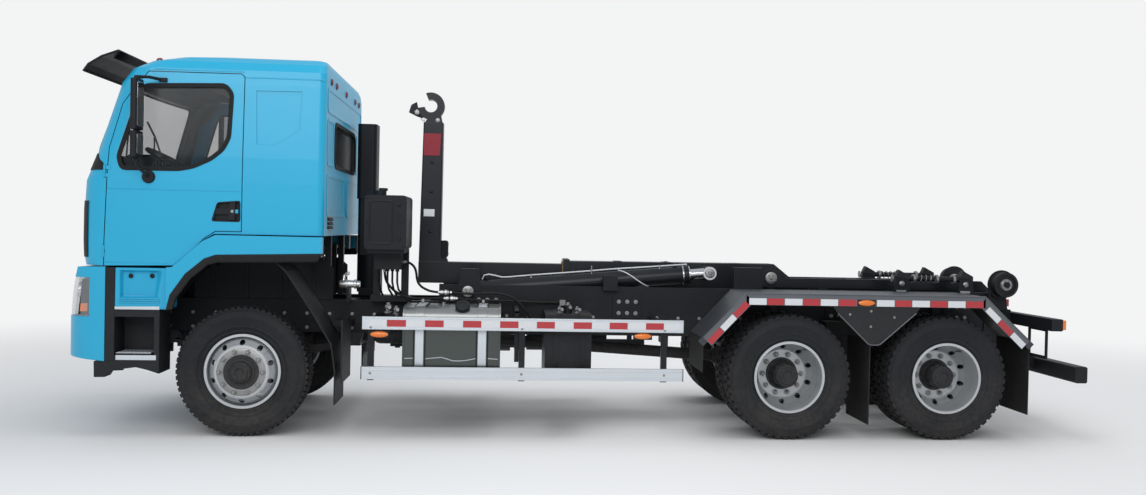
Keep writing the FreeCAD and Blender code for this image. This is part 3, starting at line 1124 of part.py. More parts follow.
def hinge_rolls(part, radius, play):
    """The rolls of both hinges: the middle one belongs to the cab, the outer two to the door."""
    rolls = []
    for z in HINGE_ZS:
        if part == "cab":
            rolls.append(cylinder_z(DOOR_FRONT, CAB_HALF_WIDTH, radius, z - HINGE_MIDDLE - play, z + HINGE_MIDDLE + play))
        else:
            low = z - HINGE_HALF - play
            high = z + HINGE_HALF + play
            rolls.append(cylinder_z(DOOR_FRONT, CAB_HALF_WIDTH, radius, low, z - HINGE_MIDDLE - SEAT_GAP + play))
            rolls.append(cylinder_z(DOOR_FRONT, CAB_HALF_WIDTH, radius, z + HINGE_MIDDLE + SEAT_GAP - play, high))
    return rolls


def hinge_tabs(play):
    """Flat tabs that join the door's rolls to its edge."""
    y = CAB_HALF_WIDTH
    return [box(DOOR_FRONT - play, DOOR_FRONT + 45, y - HINGE_TAB - play, y + play, z0 - play, z1 + play)
            for z in HINGE_ZS
            for z0, z1 in ((z - HINGE_HALF, z - HINGE_MIDDLE - SEAT_GAP), (z + HINGE_MIDDLE + SEAT_GAP, z + HINGE_HALF))]


def door_way(gap):
    """The space that the door's leaf takes in the right wall, widened by the gap towards the room."""
    outline = side_prism(DOOR_OUTLINE, -gap, WALL_INNER_Y - 124, 1400)
    return outline.cut(box(-2000, 2000, 0, WALL_INNER_Y - (0 if gap else SILL_GAP), 1000, SILL_TOP))


def cab_shell(outer, wall):
    holes = both(door_way(0))
    holes += [windscreen_prism(0), rear_window_prism(0)]
    skin = outer.cut(cab_solid(6))
    panel = both(side_prism(QUARTER_PANEL, 0, 1000, 1400))
    room_for_hinges = both(group(hinge_rolls("door", HINGE_R + 1, 1) + hinge_tabs(3)))
    shell = wall.cut(holes + room_for_hinges)
    marks = [skin.common(piece) for piece in panel]
    return fuse([shell.cut(marks)] + both(group(hinge_rolls("cab", HINGE_R, 0))))


def door(wall):
    """The right door, cut from the same wall as the cab, with its window open."""
    leaf = wall.common(door_way(DOOR_GAP))
    leaf = leaf.cut(side_prism(DOOR_WINDOW, 0, 1000, 1400))
    pocket = side_prism(HANDLE_POCKET, 0, CAB_HALF_WIDTH - 28, 1400)
    grip = box(-215, -35, CAB_HALF_WIDTH - 26, CAB_HALF_WIDTH - 8, 1775, 1805)
    return fuse([leaf.cut([pocket] + hinge_rolls("cab", HINGE_R + 1, 1)), grip] + hinge_rolls("door", HINGE_R, 0)
                + hinge_tabs(0))


def glass_layer():
    return cab_solid(GLASS_DEPTH).cut(cab_solid(GLASS_DEPTH + GLASS_THICKNESS))


def cab_glass(layer, shell):
    front = layer.common(windscreen_prism(-SEAT_GAP))
    rear = layer.common(rear_window_prism(-SEAT_GAP))
    return group([front, rear]).cut(shell)


def door_glass(layer):
    return layer.common(side_prism(DOOR_WINDOW, -SEAT_GAP, 1000, 1400))


# Black pieces on the cab front: cowl below the windscreen, grille, corner slits and sun visor
def cab_trim(outer):
    plate = cab_solid(-5).cut(outer)
    cowl = plate.common(prism_x([(-1220, 2092), (1220, 2092), (1220, 2120), (1110, 2222), (-1110, 2222),
                                 (-1220, 2120)], -1500, -1062))
    grille = plate.common(prism_x([(-760, 1440), (760, 1440), (820, 1930), (-820, 1930)], -1500, -1100))
    slots = [box(-1500, -1100, -700, 700, z, z + 34) for z in range(1500, 1880, 80)]
    slits = plate.common(group(both(box(-1240, -1180, 1000, 1230, 1410, 1850))))
    return group([cowl, grille.cut(slots), slits])


VISOR_HALF_WIDTH = 1060.0


def sun_visor(outer):
    path = [(-1268, 2868), (-1230, 2925), (-1130, 2990), (-1000, 3040)]
    blade = lining_strip(path, 10, -VISOR_HALF_WIDTH, VISOR_HALF_WIDTH)
    arms = both(prism_y([(-1005, 3042), (-1100, 3004), (-830, 2900), (-800, 2950)], 860, 890))
    arms += both(prism_y([(-1005, 3042), (-1100, 3004), (-830, 2900), (-800, 2950)], 200, 230))
    return fuse([blade] + arms).cut(outer)


# Inside the cab: dashboard with steering wheel, and two seats
SEAT_Y = 620.0
WHEEL_CENTRE_X = -700.0
WHEEL_CENTRE_Z = 2190.0
WHEEL_R = 225.0
WHEEL_TUBE_R = 15.0
WHEEL_TILT = 28.0
DESK_HALF_WIDTH = 1085.0


def steering_wheel():
    """Stands at the left, tilted back towards the driver, on a column out of the dashboard."""
    tilt = math.radians(WHEEL_TILT)
    centre = Vec(WHEEL_CENTRE_X, -SEAT_Y, WHEEL_CENTRE_Z)
    axis = Vec(math.sin(tilt), 0, math.cos(tilt))
    pieces = [
        Part.makeTorus(WHEEL_R, WHEEL_TUBE_R, centre, axis),
        Part.makeCylinder(58, 30, centre - axis * 30, axis),
        Part.makeCylinder(32, 330, centre - axis * 340, axis)]
    for turn in (0, 120, 240):
        spoke = box(0, WHEEL_R, -14, 14, -8, 8)
        spoke.rotate(Vec(0, 0, 0), Vec(0, 0, 1), turn)
        spoke.rotate(Vec(0, 0, 0), Vec(0, 1, 0), WHEEL_TILT)
        spoke.translate(centre)
        pieces.append(spoke)
    return pieces


def dashboard(room):
    desk = prism_y([(-1400, 1900), (-1400, 2150), (-1130, 2190), (-960, 2200), (-860, 2090), (-900, 1900)],
                   -CAB_HALF_WIDTH + 60, CAB_HALF_WIDTH - 60).common(room)
    desk = desk.cut(both(box(DOOR_FRONT - 14, -500, DESK_HALF_WIDTH, CAB_HALF_WIDTH, 1500, 2500)))
    binnacle = rounded(box(-1010, -800, -SEAT_Y - 190, -SEAT_Y + 190, 1960, 2240), 30, "y")
    return fuse([desk, binnacle] + steering_wheel())


def seats(room):
    pieces = []
    for y in (-SEAT_Y, SEAT_Y):
        base = box(-480, -60, y - 190, y + 190, 1380, 1810).common(room)
        cushion = rounded(box(-560, -30, y - 250, y + 250, 1800, 1930), 40, "y")
        back = prism_y([(-130, 1900), (10, 1900), (130, 2560), (30, 2580)], y - 240, y + 240)
        head = rounded(box(40, 130, y - 130, y + 130, 2590, 2740), 30, "y")
        stem = box(70, 100, y - 40, y + 40, 2500, 2600)
        pieces.append(fuse([base, cushion, back, head, stem]))
    return group(pieces)


# Mirrors: a tall and a wide one on a bent tube from the door
MIRROR_X = -772.0
MIRROR_Y = 1335.0
MIRROR_TUBE_R = 12.0


def tube_through(points, r):
    pieces = []
    for start, end in zip(points, points[1:]):
        pieces.append(rod_between(start, end, r))
    for point in points[1:-1]:
        pieces.append(Part.makeSphere(r, point))
    return pieces


def mirror(outer):
    tall = rounded(box(MIRROR_X - 26, MIRROR_X + 26, MIRROR_Y - 92, MIRROR_Y + 92, 2400, 2786), 22, "z")
    wide = rounded(box(MIRROR_X - 26, MIRROR_X + 26, MIRROR_Y - 88, MIRROR_Y + 88, 2190, 2388), 22, "z")
    arm = [Vec(-716, CAB_HALF_WIDTH - 40, 2045), Vec(-716, MIRROR_Y - 45, 2062), Vec(MIRROR_X, MIRROR_Y, 2130),
           Vec(MIRROR_X, MIRROR_Y, 2806), Vec(-700, MIRROR_Y - 60, 2812), Vec(-620, CAB_HALF_WIDTH - 60, 2806)]
    base = cylinder_y(-716, 2045, 44, CAB_HALF_WIDTH - 30, CAB_HALF_WIDTH + 24)
    return fuse([tall, wide, base] + tube_through(arm, MIRROR_TUBE_R)).cut(outer)


def build_parts():
    write("chassis_frame", chassis_frame())
    write("subframe", fuse([subframe()] + tip_rests() + roller_brackets() + container_locks()))
    write("front_bumper", front_bumper())
    write("headlamps", headlamps())
    write("step_boxes", step_boxes())
    write("entry_steps", entry_steps())
    write("wheel_arches", wheel_arches())
    write("front_mudguards", front_mudguards())
    write("engine_block", engine_block())
    write("air_intake", air_intake())
    write("hydraulic_tank", hydraulic_tank())
    write("fuel_tank", fuel_tank())
    write("side_tanks", side_tanks())
    write("side_guards", side_guards())
    write("front_axle", front_axle())
    write("rear_axles", rear_axles())
    write("leaf_springs", leaf_springs())
    mudguards = rear_mudguards()
    write("rear_mudguards", mudguards)
    write("rear_flaps", rear_flaps(mudguards))
    write("rear_bars", rear_bars())
    write("tail_lamps", tail_lamps())
    write("roller_right", roller())
    write("roller_left", mirrored(roller()))
    write("knuckle_right", knuckle())
    write("knuckle_left", mirrored(knuckle()))
    write("front_rim_right", front_rim())
    write("front_rim_left", mirrored(front_rim()))
    write("front_tyre_right", tyre(0, FRONT_TRACK_HALF, TYRE_WIDTH))
    write("front_tyre_left", mirrored(tyre(0, FRONT_TRACK_HALF, TYRE_WIDTH)))
    for number, x in ((1, WHEELBASE), (2, WHEELBASE + TANDEM_SPACING)):
        rims = rear_rim(x)
        tyres = rear_tyres(x)
        write("rear_rims_%d_right" % number, rims)
        write("rear_rims_%d_left" % number, mirrored(rims))
        write("rear_tyres_%d_right" % number, tyres)
        write("rear_tyres_%d_left" % number, mirrored(tyres))
    outer = cab_solid(0)
    wall = outer.cut(cab_solid(CAB_WALL))
    right_mirror = mirror(outer)
    write("mirror_right", right_mirror)
    write("mirror_left", mirrored(right_mirror))
    layer = glass_layer()
    shell = cab_shell(outer, wall)
    write("cab_shell", shell)
    write("cab_tilt_arms", tilt_arms(outer))
    write("cab_glass", cab_glass(layer, shell))
    write("cab_trim", cab_trim(outer))
    write("sun_visor", sun_visor(outer))
    room = cab_solid(CAB_WALL)
    write("dashboard", dashboard(room))
    write("seats", seats(room))
    right_door = door(wall)
    right_glass = door_glass(layer)
    write("door_right", right_door)
    write("door_left", mirrored(right_door))
    write("door_glass_right", right_glass)
    write("door_glass_left", mirrored(right_glass))
    write("tipping_frame", tipping_frame())
    write("boom", boom())
    arm = hook_arm()
    write("hook_arm", arm)
    write("hook_latch", hook_latch().cut(arm))
    write("cylinder_pins", cylinder_pins())
    write("cylinder_barrels", cylinder_barrels())
    write("cylinder_stages", cylinder_stages())
    write("cylinder_rods", cylinder_rods())


build_parts()
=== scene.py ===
import math

import bmesh
import bpy
from mathutils import Matrix, Vector


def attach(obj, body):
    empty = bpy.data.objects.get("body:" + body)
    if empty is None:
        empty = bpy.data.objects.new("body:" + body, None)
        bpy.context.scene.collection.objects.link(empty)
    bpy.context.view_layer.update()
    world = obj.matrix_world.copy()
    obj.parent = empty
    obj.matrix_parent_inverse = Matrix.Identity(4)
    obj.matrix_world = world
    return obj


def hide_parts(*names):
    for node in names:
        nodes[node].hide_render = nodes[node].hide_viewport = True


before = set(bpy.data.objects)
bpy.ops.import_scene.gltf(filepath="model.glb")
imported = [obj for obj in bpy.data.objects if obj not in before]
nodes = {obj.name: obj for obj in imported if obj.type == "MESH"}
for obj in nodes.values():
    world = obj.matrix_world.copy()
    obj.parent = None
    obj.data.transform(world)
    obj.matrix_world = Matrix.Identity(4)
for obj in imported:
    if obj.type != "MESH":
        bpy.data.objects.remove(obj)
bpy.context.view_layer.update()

# Studio: a pale floor that fades into a pale room, a camera low beside the truck,
# and three large soft lamps. Nothing here belongs to the truck.
# Places along the truck are metres behind the front axle, which stands at this X.
FRONT_AXLE = -2.84
CAMERA_AT = Vector((FRONT_AXLE + 2.00406, -10.18926, 1.7113))
CAMERA_TURN = 0.1027
CAMERA_DIP = 0.0161
CAMERA_ROLL = 0.0216
FOCAL_LENGTH = 34.864
SENSOR_WIDTH = 36.0
VIEW_SHIFT = -0.03452
VIEW_DEPTH = 300.0
ROOM_COLOUR = (0.9, 0.905, 0.91, 1.0)
ROOM_LIGHT = (0.93, 0.96, 1.0, 1.0)
ROOM_STRENGTH = 0.62
FLOOR_COLOUR = (0.8, 0.8, 0.8, 1.0)
FLOOR_REACH = 90.0
FADE_FROM, FADE_TO = 5.5, 13.0

ahead = Vector((math.sin(CAMERA_TURN) * math.cos(CAMERA_DIP), math.cos(CAMERA_TURN) * math.cos(CAMERA_DIP),
    -math.sin(CAMERA_DIP)))
level_right = Vector((math.cos(CAMERA_TURN), -math.sin(CAMERA_TURN), 0.0))
level_up = level_right.cross(ahead)
camera_right = level_right * math.cos(CAMERA_ROLL) + level_up * math.sin(CAMERA_ROLL)
camera_up = level_up * math.cos(CAMERA_ROLL) - level_right * math.sin(CAMERA_ROLL)
turned_view = Matrix((camera_right, camera_up, -ahead)).transposed().to_4x4()


def in_scene(name, data):
    """An object that holds this data, linked into the scene."""
    made = bpy.data.objects.new(name, data)
    bpy.context.scene.collection.objects.link(made)
    return made


camera_data = bpy.data.cameras.new("camera")
camera_data.lens = FOCAL_LENGTH
camera_data.sensor_width = SENSOR_WIDTH
camera_data.shift_x = VIEW_SHIFT
camera_data.clip_end = VIEW_DEPTH
camera = in_scene("camera", camera_data)
camera.matrix_world = Matrix.Translation(CAMERA_AT) @ turned_view
bpy.context.scene.camera = camera
bpy.context.scene.view_settings.view_transform = "Standard"


def feed(tree, target, inputs):
    """Gives a node's inputs their values, or links them to the outputs that feed them."""
    for label, value in inputs.items():
        if isinstance(value, bpy.types.NodeSocket):
            tree.links.new(value, target.inputs[label])
        else:
            target.inputs[label].default_value = value


def new_node(tree, kind, inputs=None, **settings):
    made = tree.nodes.new(kind)
    for label, value in settings.items():
        setattr(made, label, value)
    feed(tree, made, inputs or {})
    return made


def own_place(tree):
    """The piece's own coordinates."""
    return new_node(tree, "ShaderNodeTexCoord").outputs["Object"]


def new_material(name):
    """A material, its tree and its shader."""
    material = bpy.data.materials.new(name)
    material.use_nodes = True
    return material, material.node_tree, material.node_tree.nodes["Principled BSDF"]


def room_light():
    """A white room for the camera, and a softer one for everything that the room lights."""
    world = bpy.data.worlds.new("room")
    world.use_nodes = True
    tree = world.node_tree
    tree.nodes.clear()
    seen = new_node(tree, "ShaderNodeBackground", {"Color": ROOM_COLOUR, "Strength": 1.0})
    cast = new_node(tree, "ShaderNodeBackground", {"Color": ROOM_LIGHT, "Strength": ROOM_STRENGTH})
    rays = new_node(tree, "ShaderNodeLightPath")
    mix = new_node(tree, "ShaderNodeMixShader", {0: rays.outputs["Is Camera Ray"], 1: cast.outputs[0],
        2: seen.outputs[0]})
    new_node(tree, "ShaderNodeOutputWorld", {"Surface": mix.outputs[0]})
    bpy.context.scene.world = world


def soft_lamp(name, place, target, width, height, power, mirrored):
    data = bpy.data.lights.new(name, "AREA")
    data.shape = "RECTANGLE"
    data.size = width
    data.size_y = height
    data.energy = power
    lamp = in_scene(name, data)
    lamp.location = place
    lamp.visible_glossy = mirrored
    lamp.rotation_euler = (Vector(target) - Vector(place)).to_track_quat("-Z", "Y").to_euler()


def studio_floor():
    """Close by it is matt and holds the shadow; far off it takes the room's colour."""
    mesh = bpy.data.meshes.new("floor")
    mesh.from_pydata([(FLOOR_REACH * x, FLOOR_REACH * y, 0) for x, y in ((-1, -1), (1, -1), (1, 1),
        (-1, 1))], [], [(0, 1, 2, 3)])
    floor = in_scene("floor", mesh)
    material, tree, matt = new_material("floor")
    feed(tree, matt, {"Base Color": FLOOR_COLOUR, "Roughness": 0.9})
    far = new_node(tree, "ShaderNodeEmission", {"Color": ROOM_COLOUR})
    away = new_node(tree, "ShaderNodeVectorMath", {0: own_place(tree)}, operation="LENGTH")
    fade = new_node(tree, "ShaderNodeMapRange", {"From Min": FADE_FROM, "From Max": FADE_TO,
        "Value": away.outputs["Value"]}, interpolation_type="SMOOTHSTEP")
    mix = new_node(tree, "ShaderNodeMixShader", {0: fade.outputs["Result"], 1: matt.outputs[0],
        2: far.outputs[0]})
    feed(tree, tree.nodes["Material Output"], {"Surface": mix.outputs[0]})
    mesh.materials.append(material)


room_light()
soft_lamp("front_lamp", (-2.5, -12.0, 7.0), (0.0, 0.0, 1.2), 11.0, 6.0, 700.0, True)
soft_lamp("top_lamp", (1.0, -0.5, 9.0), (0.5, 0.0, 0.0), 10.0, 5.0, 300.0, False)
soft_lamp("far_lamp", (3.0, 11.0, 6.0), (0.0, 0.0, 1.2), 9.0, 5.0, 270.0, False)
studio_floor()


# Chassis: two steel channel rails with their cross-members and the subframe on them, painted black,
# held together by rows of bolts and by fish plates. The paint is rubbed at its edges and dusty low down.
def socketed(tree, inputs, outputs):
    """Gives a tree these named inputs and outputs, and gives back its two end nodes."""
    for label, kind, value in inputs:
        socket = tree.interface.new_socket(label, in_out="INPUT", socket_type="NodeSocket" + kind)
        if value is not None:
            socket.default_value = value
    for label, kind in outputs:
        tree.interface.new_socket(label, in_out="OUTPUT", socket_type="NodeSocket" + kind)
    return tree, tree.nodes.new("NodeGroupInput").outputs, tree.nodes.new("NodeGroupOutput")


def effect(name, inputs, outputs):
    """A shader node group with these named inputs and outputs."""
    return socketed(bpy.data.node_groups.new(name, "ShaderNodeTree"), inputs, outputs)


def maths(tree, operation, a, b=None, clamp=False):
    given = {0: a} if b is None else {0: a, 1: b}
    return new_node(tree, "ShaderNodeMath", given, operation=operation, use_clamp=clamp).outputs[0]


def product(tree, a, b, clamp=False):
    return maths(tree, "MULTIPLY", a, b, clamp)


def vector_maths(tree, operation, a, b):
    return new_node(tree, "ShaderNodeVectorMath", {0: a, 1: b}, operation=operation).outputs


def parts_of(tree, vector):
    """The X, Y and Z of a vector."""
    return new_node(tree, "ShaderNodeSeparateXYZ", {0: vector}).outputs


def facing_up(tree):
    """How far a face looks up: 1 for a floor, 0 for a wall."""
    return parts_of(tree, new_node(tree, "ShaderNodeNewGeometry").outputs["Normal"])["Z"]


def mixed(tree, share, a, b):
    return new_node(tree, "ShaderNodeMix", {"Factor": share, 6: a, 7: b}, data_type="RGBA").outputs[2]


def shaded(colour, share=1.0):
    """A colour made darker by a share, with full cover."""
    return tuple(c * share for c in colour) + (1.0,)


def noise(tree, scale, detail=3.0, stretch=None):
    """Cloudy spots over the piece's own coordinates, drawn out along an axis by the stretch."""
    source = own_place(tree)
    if stretch:
        source = new_node(tree, "ShaderNodeMapping", {"Scale": stretch, "Vector": source}).outputs["Vector"]
    return new_node(tree, "ShaderNodeTexNoise", {"Detail": detail, "Scale": scale,
        "Vector": source}).outputs["Fac"]


def edge_effect():
    """A rounded edge, and a mask of where the edge is rubbed."""
    group, given, out = effect("rubbed_edge", [("Radius", "Float", 0.003), ("Spread", "Float", 12.0)],
        [("Normal", "Vector"), ("Rubbed", "Float")])
    edge = new_node(group, "ShaderNodeBevel", {"Radius": given["Radius"]}, samples=4).outputs[0]
    plain = new_node(group, "ShaderNodeNewGeometry").outputs["Normal"]
    bend = maths(group, "SUBTRACT", 1.0, vector_maths(group, "DOT_PRODUCT", edge, plain)["Value"])
    broken = product(group, noise(group, 38.0, 4.0), given["Spread"])
    feed(group, out, {"Normal": edge, "Rubbed": product(group, bend, broken, clamp=True)})
    return group


def grain_effect():
    """A fine raised grain."""
    group, given, out = effect("fine_grain", [("Normal", "Vector", None), ("Scale", "Float", 300.0),
        ("Depth", "Float", 0.05)], [("Normal", "Vector")])
    raised = new_node(group, "ShaderNodeBump", {"Distance": 0.002, "Strength": given["Depth"],
        "Height": noise(group, given["Scale"], 2.0), "Normal": given["Normal"]})
    feed(group, out, {"Normal": raised.outputs[0]})
    return group


def dust_effect():
    """Road dust, thicker low down and on what faces up."""
    group, given, out = effect("road_dust", [("Colour", "Color", None), ("Roughness", "Float", 0.5),
        ("Dust", "Color", (0.3, 0.27, 0.23, 1.0)), ("Amount", "Float", 0.3), ("Reach", "Float", 1.6)],
        [("Colour", "Color"), ("Roughness", "Float")])
    height = maths(group, "DIVIDE", parts_of(group, own_place(group))["Z"], given["Reach"])
    low = maths(group, "SUBTRACT", 1.0, height, clamp=True)
    flat = product(group, maths(group, "MAXIMUM", facing_up(group), 0.0), 0.45)
    patchy = product(group, product(group, noise(group, 4.5, 6.0), noise(group, 31.0, 4.0)), 2.6)
    dusty = product(group, product(group, maths(group, "ADD", low, flat), patchy), given["Amount"],
        clamp=True)
    dull = maths(group, "ADD", given["Roughness"], product(group, dusty, 0.4), clamp=True)
    feed(group, out, {"Colour": mixed(group, dusty, given["Colour"], given["Dust"]), "Roughness": dull})
    return group


RUBBED_EDGE = edge_effect()
FINE_GRAIN = grain_effect()
ROAD_DUST = dust_effect()


def placed(tree, group, **values):
    """The outputs of a shared effect in a material, with its own values or links."""
    return new_node(tree, "ShaderNodeGroup", values, node_tree=group).outputs


def dusted(tree, skin, colour, roughness, amount, reach):
    """Puts road dust over a colour and a roughness, and gives both to the shader."""
    film = placed(tree, ROAD_DUST, Colour=colour, Roughness=roughness, Amount=amount, Reach=reach)
    feed(tree, skin, {"Base Color": film["Colour"], "Roughness": film["Roughness"]})


def coated(name, colour, rubbed=None, roughness=0.4, metallic=0.0, coat=0.0, edge=0.003, wear=0.5,
        grain=(300.0, 0.05), shade=0.12, dust=0.25, reach=1.6, drawn=None, patch=None, gleam=0.5):
    """A surface whose colour drifts a little, with rubbed edges, a fine grain and some road dust.

    Drawn stretches the drift along an axis, as on brushed metal. Patch is a second colour and a
    function that gives the mask of where it lies."""
    material, tree, skin = new_material(name)
    feed(tree, skin, {"Metallic": metallic, "Coat Weight": coat, "Coat Roughness": 0.2,
        "Specular IOR Level": gleam})
    edges = placed(tree, RUBBED_EDGE, Radius=edge, Spread=14.0)
    fine = placed(tree, FINE_GRAIN, Normal=edges["Normal"], Scale=grain[0], Depth=grain[1])
    light = tuple(min(1.0, c * (1.0 + shade) + 0.002) for c in colour) + (1.0,)
    body = mixed(tree, noise(tree, 2.3, 5.0, drawn), shaded(colour, 1.0 - shade), light)
    if patch:
        body = mixed(tree, patch[1](tree), body, shaded(patch[0]))
    if rubbed:
        body = mixed(tree, product(tree, edges["Rubbed"], wear, clamp=True), body, shaded(rubbed))
    worn = maths(tree, "ADD", roughness, product(tree, noise(tree, 9.0, 4.0, drawn), 0.12))
    dusted(tree, skin, body, worn, dust, reach)
    feed(tree, skin, {"Normal": fine["Normal"]})
    return material


def refinish(material, *names):
    """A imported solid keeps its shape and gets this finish."""
    for name in names:
        for place in nodes[name].material_slots:
            place.material = material


def walled(shape, rings):
    """Closed rings of points joined by a wall from each to the next."""
    for near, far in rings:
        for i in range(len(near)):
            j = (i + 1) % len(near)
            corners = list(dict.fromkeys((near[i], near[j], far[j], far[i])))
            if len(corners) > 2:
                shape.faces.new(corners)


def swept(shape, corners, along):
    """A flat outline of 3-D corners, carried along a vector."""
    near = [shape.verts.new(corner) for corner in corners]
    far = [shape.verts.new(Vector(corner) + Vector(along)) for corner in corners]
    shape.faces.new(near)
    shape.faces.new(far[::-1])
    walled(shape, [(far, near)])


def plate(shape, outline, y0, y1):
    """An outline seen from the side, given as (x, z), from y0 to y1."""
    swept(shape, [(x, y0, z) for x, z in outline], (0, y1 - y0, 0))


def crosswise(shape, outline, x0, x1):
    """An outline seen from the front, given as (y, z), from x0 to x1."""
    swept(shape, [(x0, y, z) for y, z in outline], (x1 - x0, 0, 0))


def block(shape, x0, x1, y0, y1, z0, z1):
    plate(shape, [(x0, z0), (x1, z0), (x1, z1), (x0, z1)], y0, y1)


def ring_of(shape, centre, side, other, radius, steps):
    """Points in a circle round a centre, in the plane of two directions."""
    return [shape.verts.new(centre + (side * math.cos(a) + other * math.sin(a)) * radius) for a
        in (2 * math.pi * i / steps for i in range(steps))]


def turned(shape, profile, centre, axis, steps=40):
    """A profile of (radius, along) points turned about an axis through the centre.

    It runs from the axis back to the axis, or else it is closed on itself."""
    axis = Vector(axis).normalized()
    side = axis.orthogonal().normalized()
    rings = []
    for radius, along in profile:
        at = Vector(centre) + axis * along
        if radius:
            rings.append(ring_of(shape, at, side, axis.cross(side), radius, steps))
        else:
            rings.append([shape.verts.new(at)] * steps)
    pairs = list(zip(rings, rings[1:]))
    if profile[0][0]:
        pairs.append((rings[-1], rings[0]))
    walled(shape, pairs)


def stud(shape, radius, height, centre, axis, steps=6):
    """A plain round or many-sided bar that stands on a point."""
    turned(shape, [(0.0, 0.0), (radius, 0.0), (radius, height), (0.0, height)], centre, axis, steps)


def pipe(shape, path, radius, sides=10):
    """A round bar or pipe through the points of a path, with closed ends."""
    path = [Vector(point) for point in path]
    side = None
    rings = []
    for index, point in enumerate(path):
        before = path[max(index - 1, 0)]
        after = path[min(index + 1, len(path) - 1)]
        along = (after - before).normalized()
        side = along.orthogonal() if side is None else side - along * side.dot(along)
        side = side.normalized()
        rings.append(ring_of(shape, point, side, along.cross(side), radius, sides))
    walled(shape, zip(rings, rings[1:]))
    shape.faces.new(rings[0])
    shape.faces.new(rings[-1][::-1])


def mirrored_too(shape):
    """The same again on the other side of the truck."""
    copy = bmesh.ops.duplicate(shape, geom=shape.verts[:] + shape.edges[:] + shape.faces[:])
    for part in copy["geom"]:
        if isinstance(part, bmesh.types.BMVert):
            part.co.y = -part.co.y
    return shape


def added(shape, other):
    """Everything of the other mesh goes into this one."""
    carrier = bpy.data.meshes.new("carrier")
    other.to_mesh(carrier)
    other.free()
    shape.from_mesh(carrier)
    bpy.data.meshes.remove(carrier)


def finished(shape, name, finish, body, slot, rounding=0.0, stands_for=(), smooth=32.0):
    """The mesh in hand becomes a piece of the truck that rides on a body."""
    bmesh.ops.recalc_face_normals(shape, faces=shape.faces)
    bmesh.ops.translate(shape, verts=shape.verts, vec=(FRONT_AXLE, 0, 0))
    mesh = bpy.data.meshes.new(name)
    shape.to_mesh(mesh)
    shape.free()
    mesh.materials.clear()
    mesh.materials.append(finish)
    for polygon in mesh.polygons:
        polygon.use_smooth = True
        polygon.material_index = 0
    mesh.set_sharp_from_angle(angle=math.radians(smooth))
    piece = in_scene(name, mesh)
    if rounding:
        edge = piece.modifiers.new("rounded", "BEVEL")
        edge.width = rounding
        edge.segments = 2
        edge.limit_method = "ANGLE"
        edge.angle_limit = math.radians(40.0)
    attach(piece, body)
    if stands_for:
        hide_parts(*stands_for)
    return piece


def drawn_up(forms, shape=None):
    """A mesh of several forms. Each is a function and what it is given after the mesh."""
    shape = shape or bmesh.new()
    for form, *given in forms:
        form(shape, *given)
    return shape


def single(name, finish, body, slot, *forms, **more):
    """A piece made of these forms."""
    return finished(drawn_up(forms), name, finish, body, slot, **more)


def paired(name, finish, body, slot, *forms, **more):
    """A piece made of these forms and of the same again on the truck's other side."""
    return finished(mirrored_too(drawn_up(forms)), name, finish, body, slot, **more)


def growing(name, inputs):
    """A geometry tree with a mesh going in and a mesh coming out, and these named sizes."""
    return socketed(bpy.data.node_groups.new(name, "GeometryNodeTree"), [("Geometry", "Geometry", None)]
        + inputs + [("Material", "Material", None)], [("Geometry", "Geometry")])


def closed_off(tree, given, out, instances):
    """Every tree ends in Realize Instances and Set Material."""
    real = new_node(tree, "GeometryNodeRealizeInstances", {0: instances})
    finish = new_node(tree, "GeometryNodeSetMaterial", {"Geometry": real.outputs[0],
        "Material": given["Material"]})
    feed(tree, out, {0: finish.outputs[0]})


def bolt_tree():
    """A hexagon head on a washer at every marked point, facing one way."""
    tree, given, out = growing("bolts_on_marked_points", [("Size", "Float", 0.012),
        ("Height", "Float", 0.008), ("Facing", "Vector", (0.0, 0.0, 1.0))])
    both = tree.nodes.new("GeometryNodeJoinGeometry")
    for sides, wide, tall, lift in ((6, 1.0, 1.0, 0.5), (12, 1.35, 0.25, 0.125)):
        head = new_node(tree, "GeometryNodeMeshCylinder", {"Vertices": sides,
            "Radius": product(tree, given["Size"], wide), "Depth": product(tree, given["Height"], tall)})
        up = new_node(tree, "ShaderNodeCombineXYZ", {"Z": product(tree, given["Height"], lift)})
        shifted = new_node(tree, "GeometryNodeTransform", {"Geometry": head.outputs["Mesh"],
            "Translation": up.outputs[0]})
        feed(tree, both, {0: shifted.outputs[0]})
    faced = new_node(tree, "FunctionNodeAlignRotationToVector", {"Vector": given["Facing"]}, axis="Z")
    spread = new_node(tree, "GeometryNodeInstanceOnPoints", {"Points": given["Geometry"],
        "Instance": both.outputs[0], "Rotation": faced.outputs[0]})
    closed_off(tree, given, out, spread.outputs[0])
    return tree


def repeat_tree():
    """The piece again and again: each copy is one step further along, and turned further about Y."""
    tree, given, out = growing("repeated_piece", [("Count", "Int", 4), ("Step", "Vector", (0.0, 0.0, 0.0)),
        ("Turn", "Float", 0.0), ("Centre", "Vector", (0.0, 0.0, 0.0))])
    number = tree.nodes.new("GeometryNodeInputIndex").outputs[0]
    shift = new_node(tree, "ShaderNodeVectorMath", {0: given["Step"], "Scale": number}, operation="SCALE")
    row = new_node(tree, "GeometryNodePoints", {"Count": given["Count"], "Position": shift.outputs[0]})
    spread = new_node(tree, "GeometryNodeInstanceOnPoints", {"Points": row.outputs[0],
        "Instance": given["Geometry"]})
    about = new_node(tree, "ShaderNodeCombineXYZ", {"Y": product(tree, number, given["Turn"])})
    around = new_node(tree, "GeometryNodeRotateInstances", {"Local Space": False,
        "Instances": spread.outputs[0], "Rotation": about.outputs[0], "Pivot Point": given["Centre"]})
    closed_off(tree, given, out, around.outputs[0])
    return tree


BOLTS = bolt_tree()
REPEATED = repeat_tree()


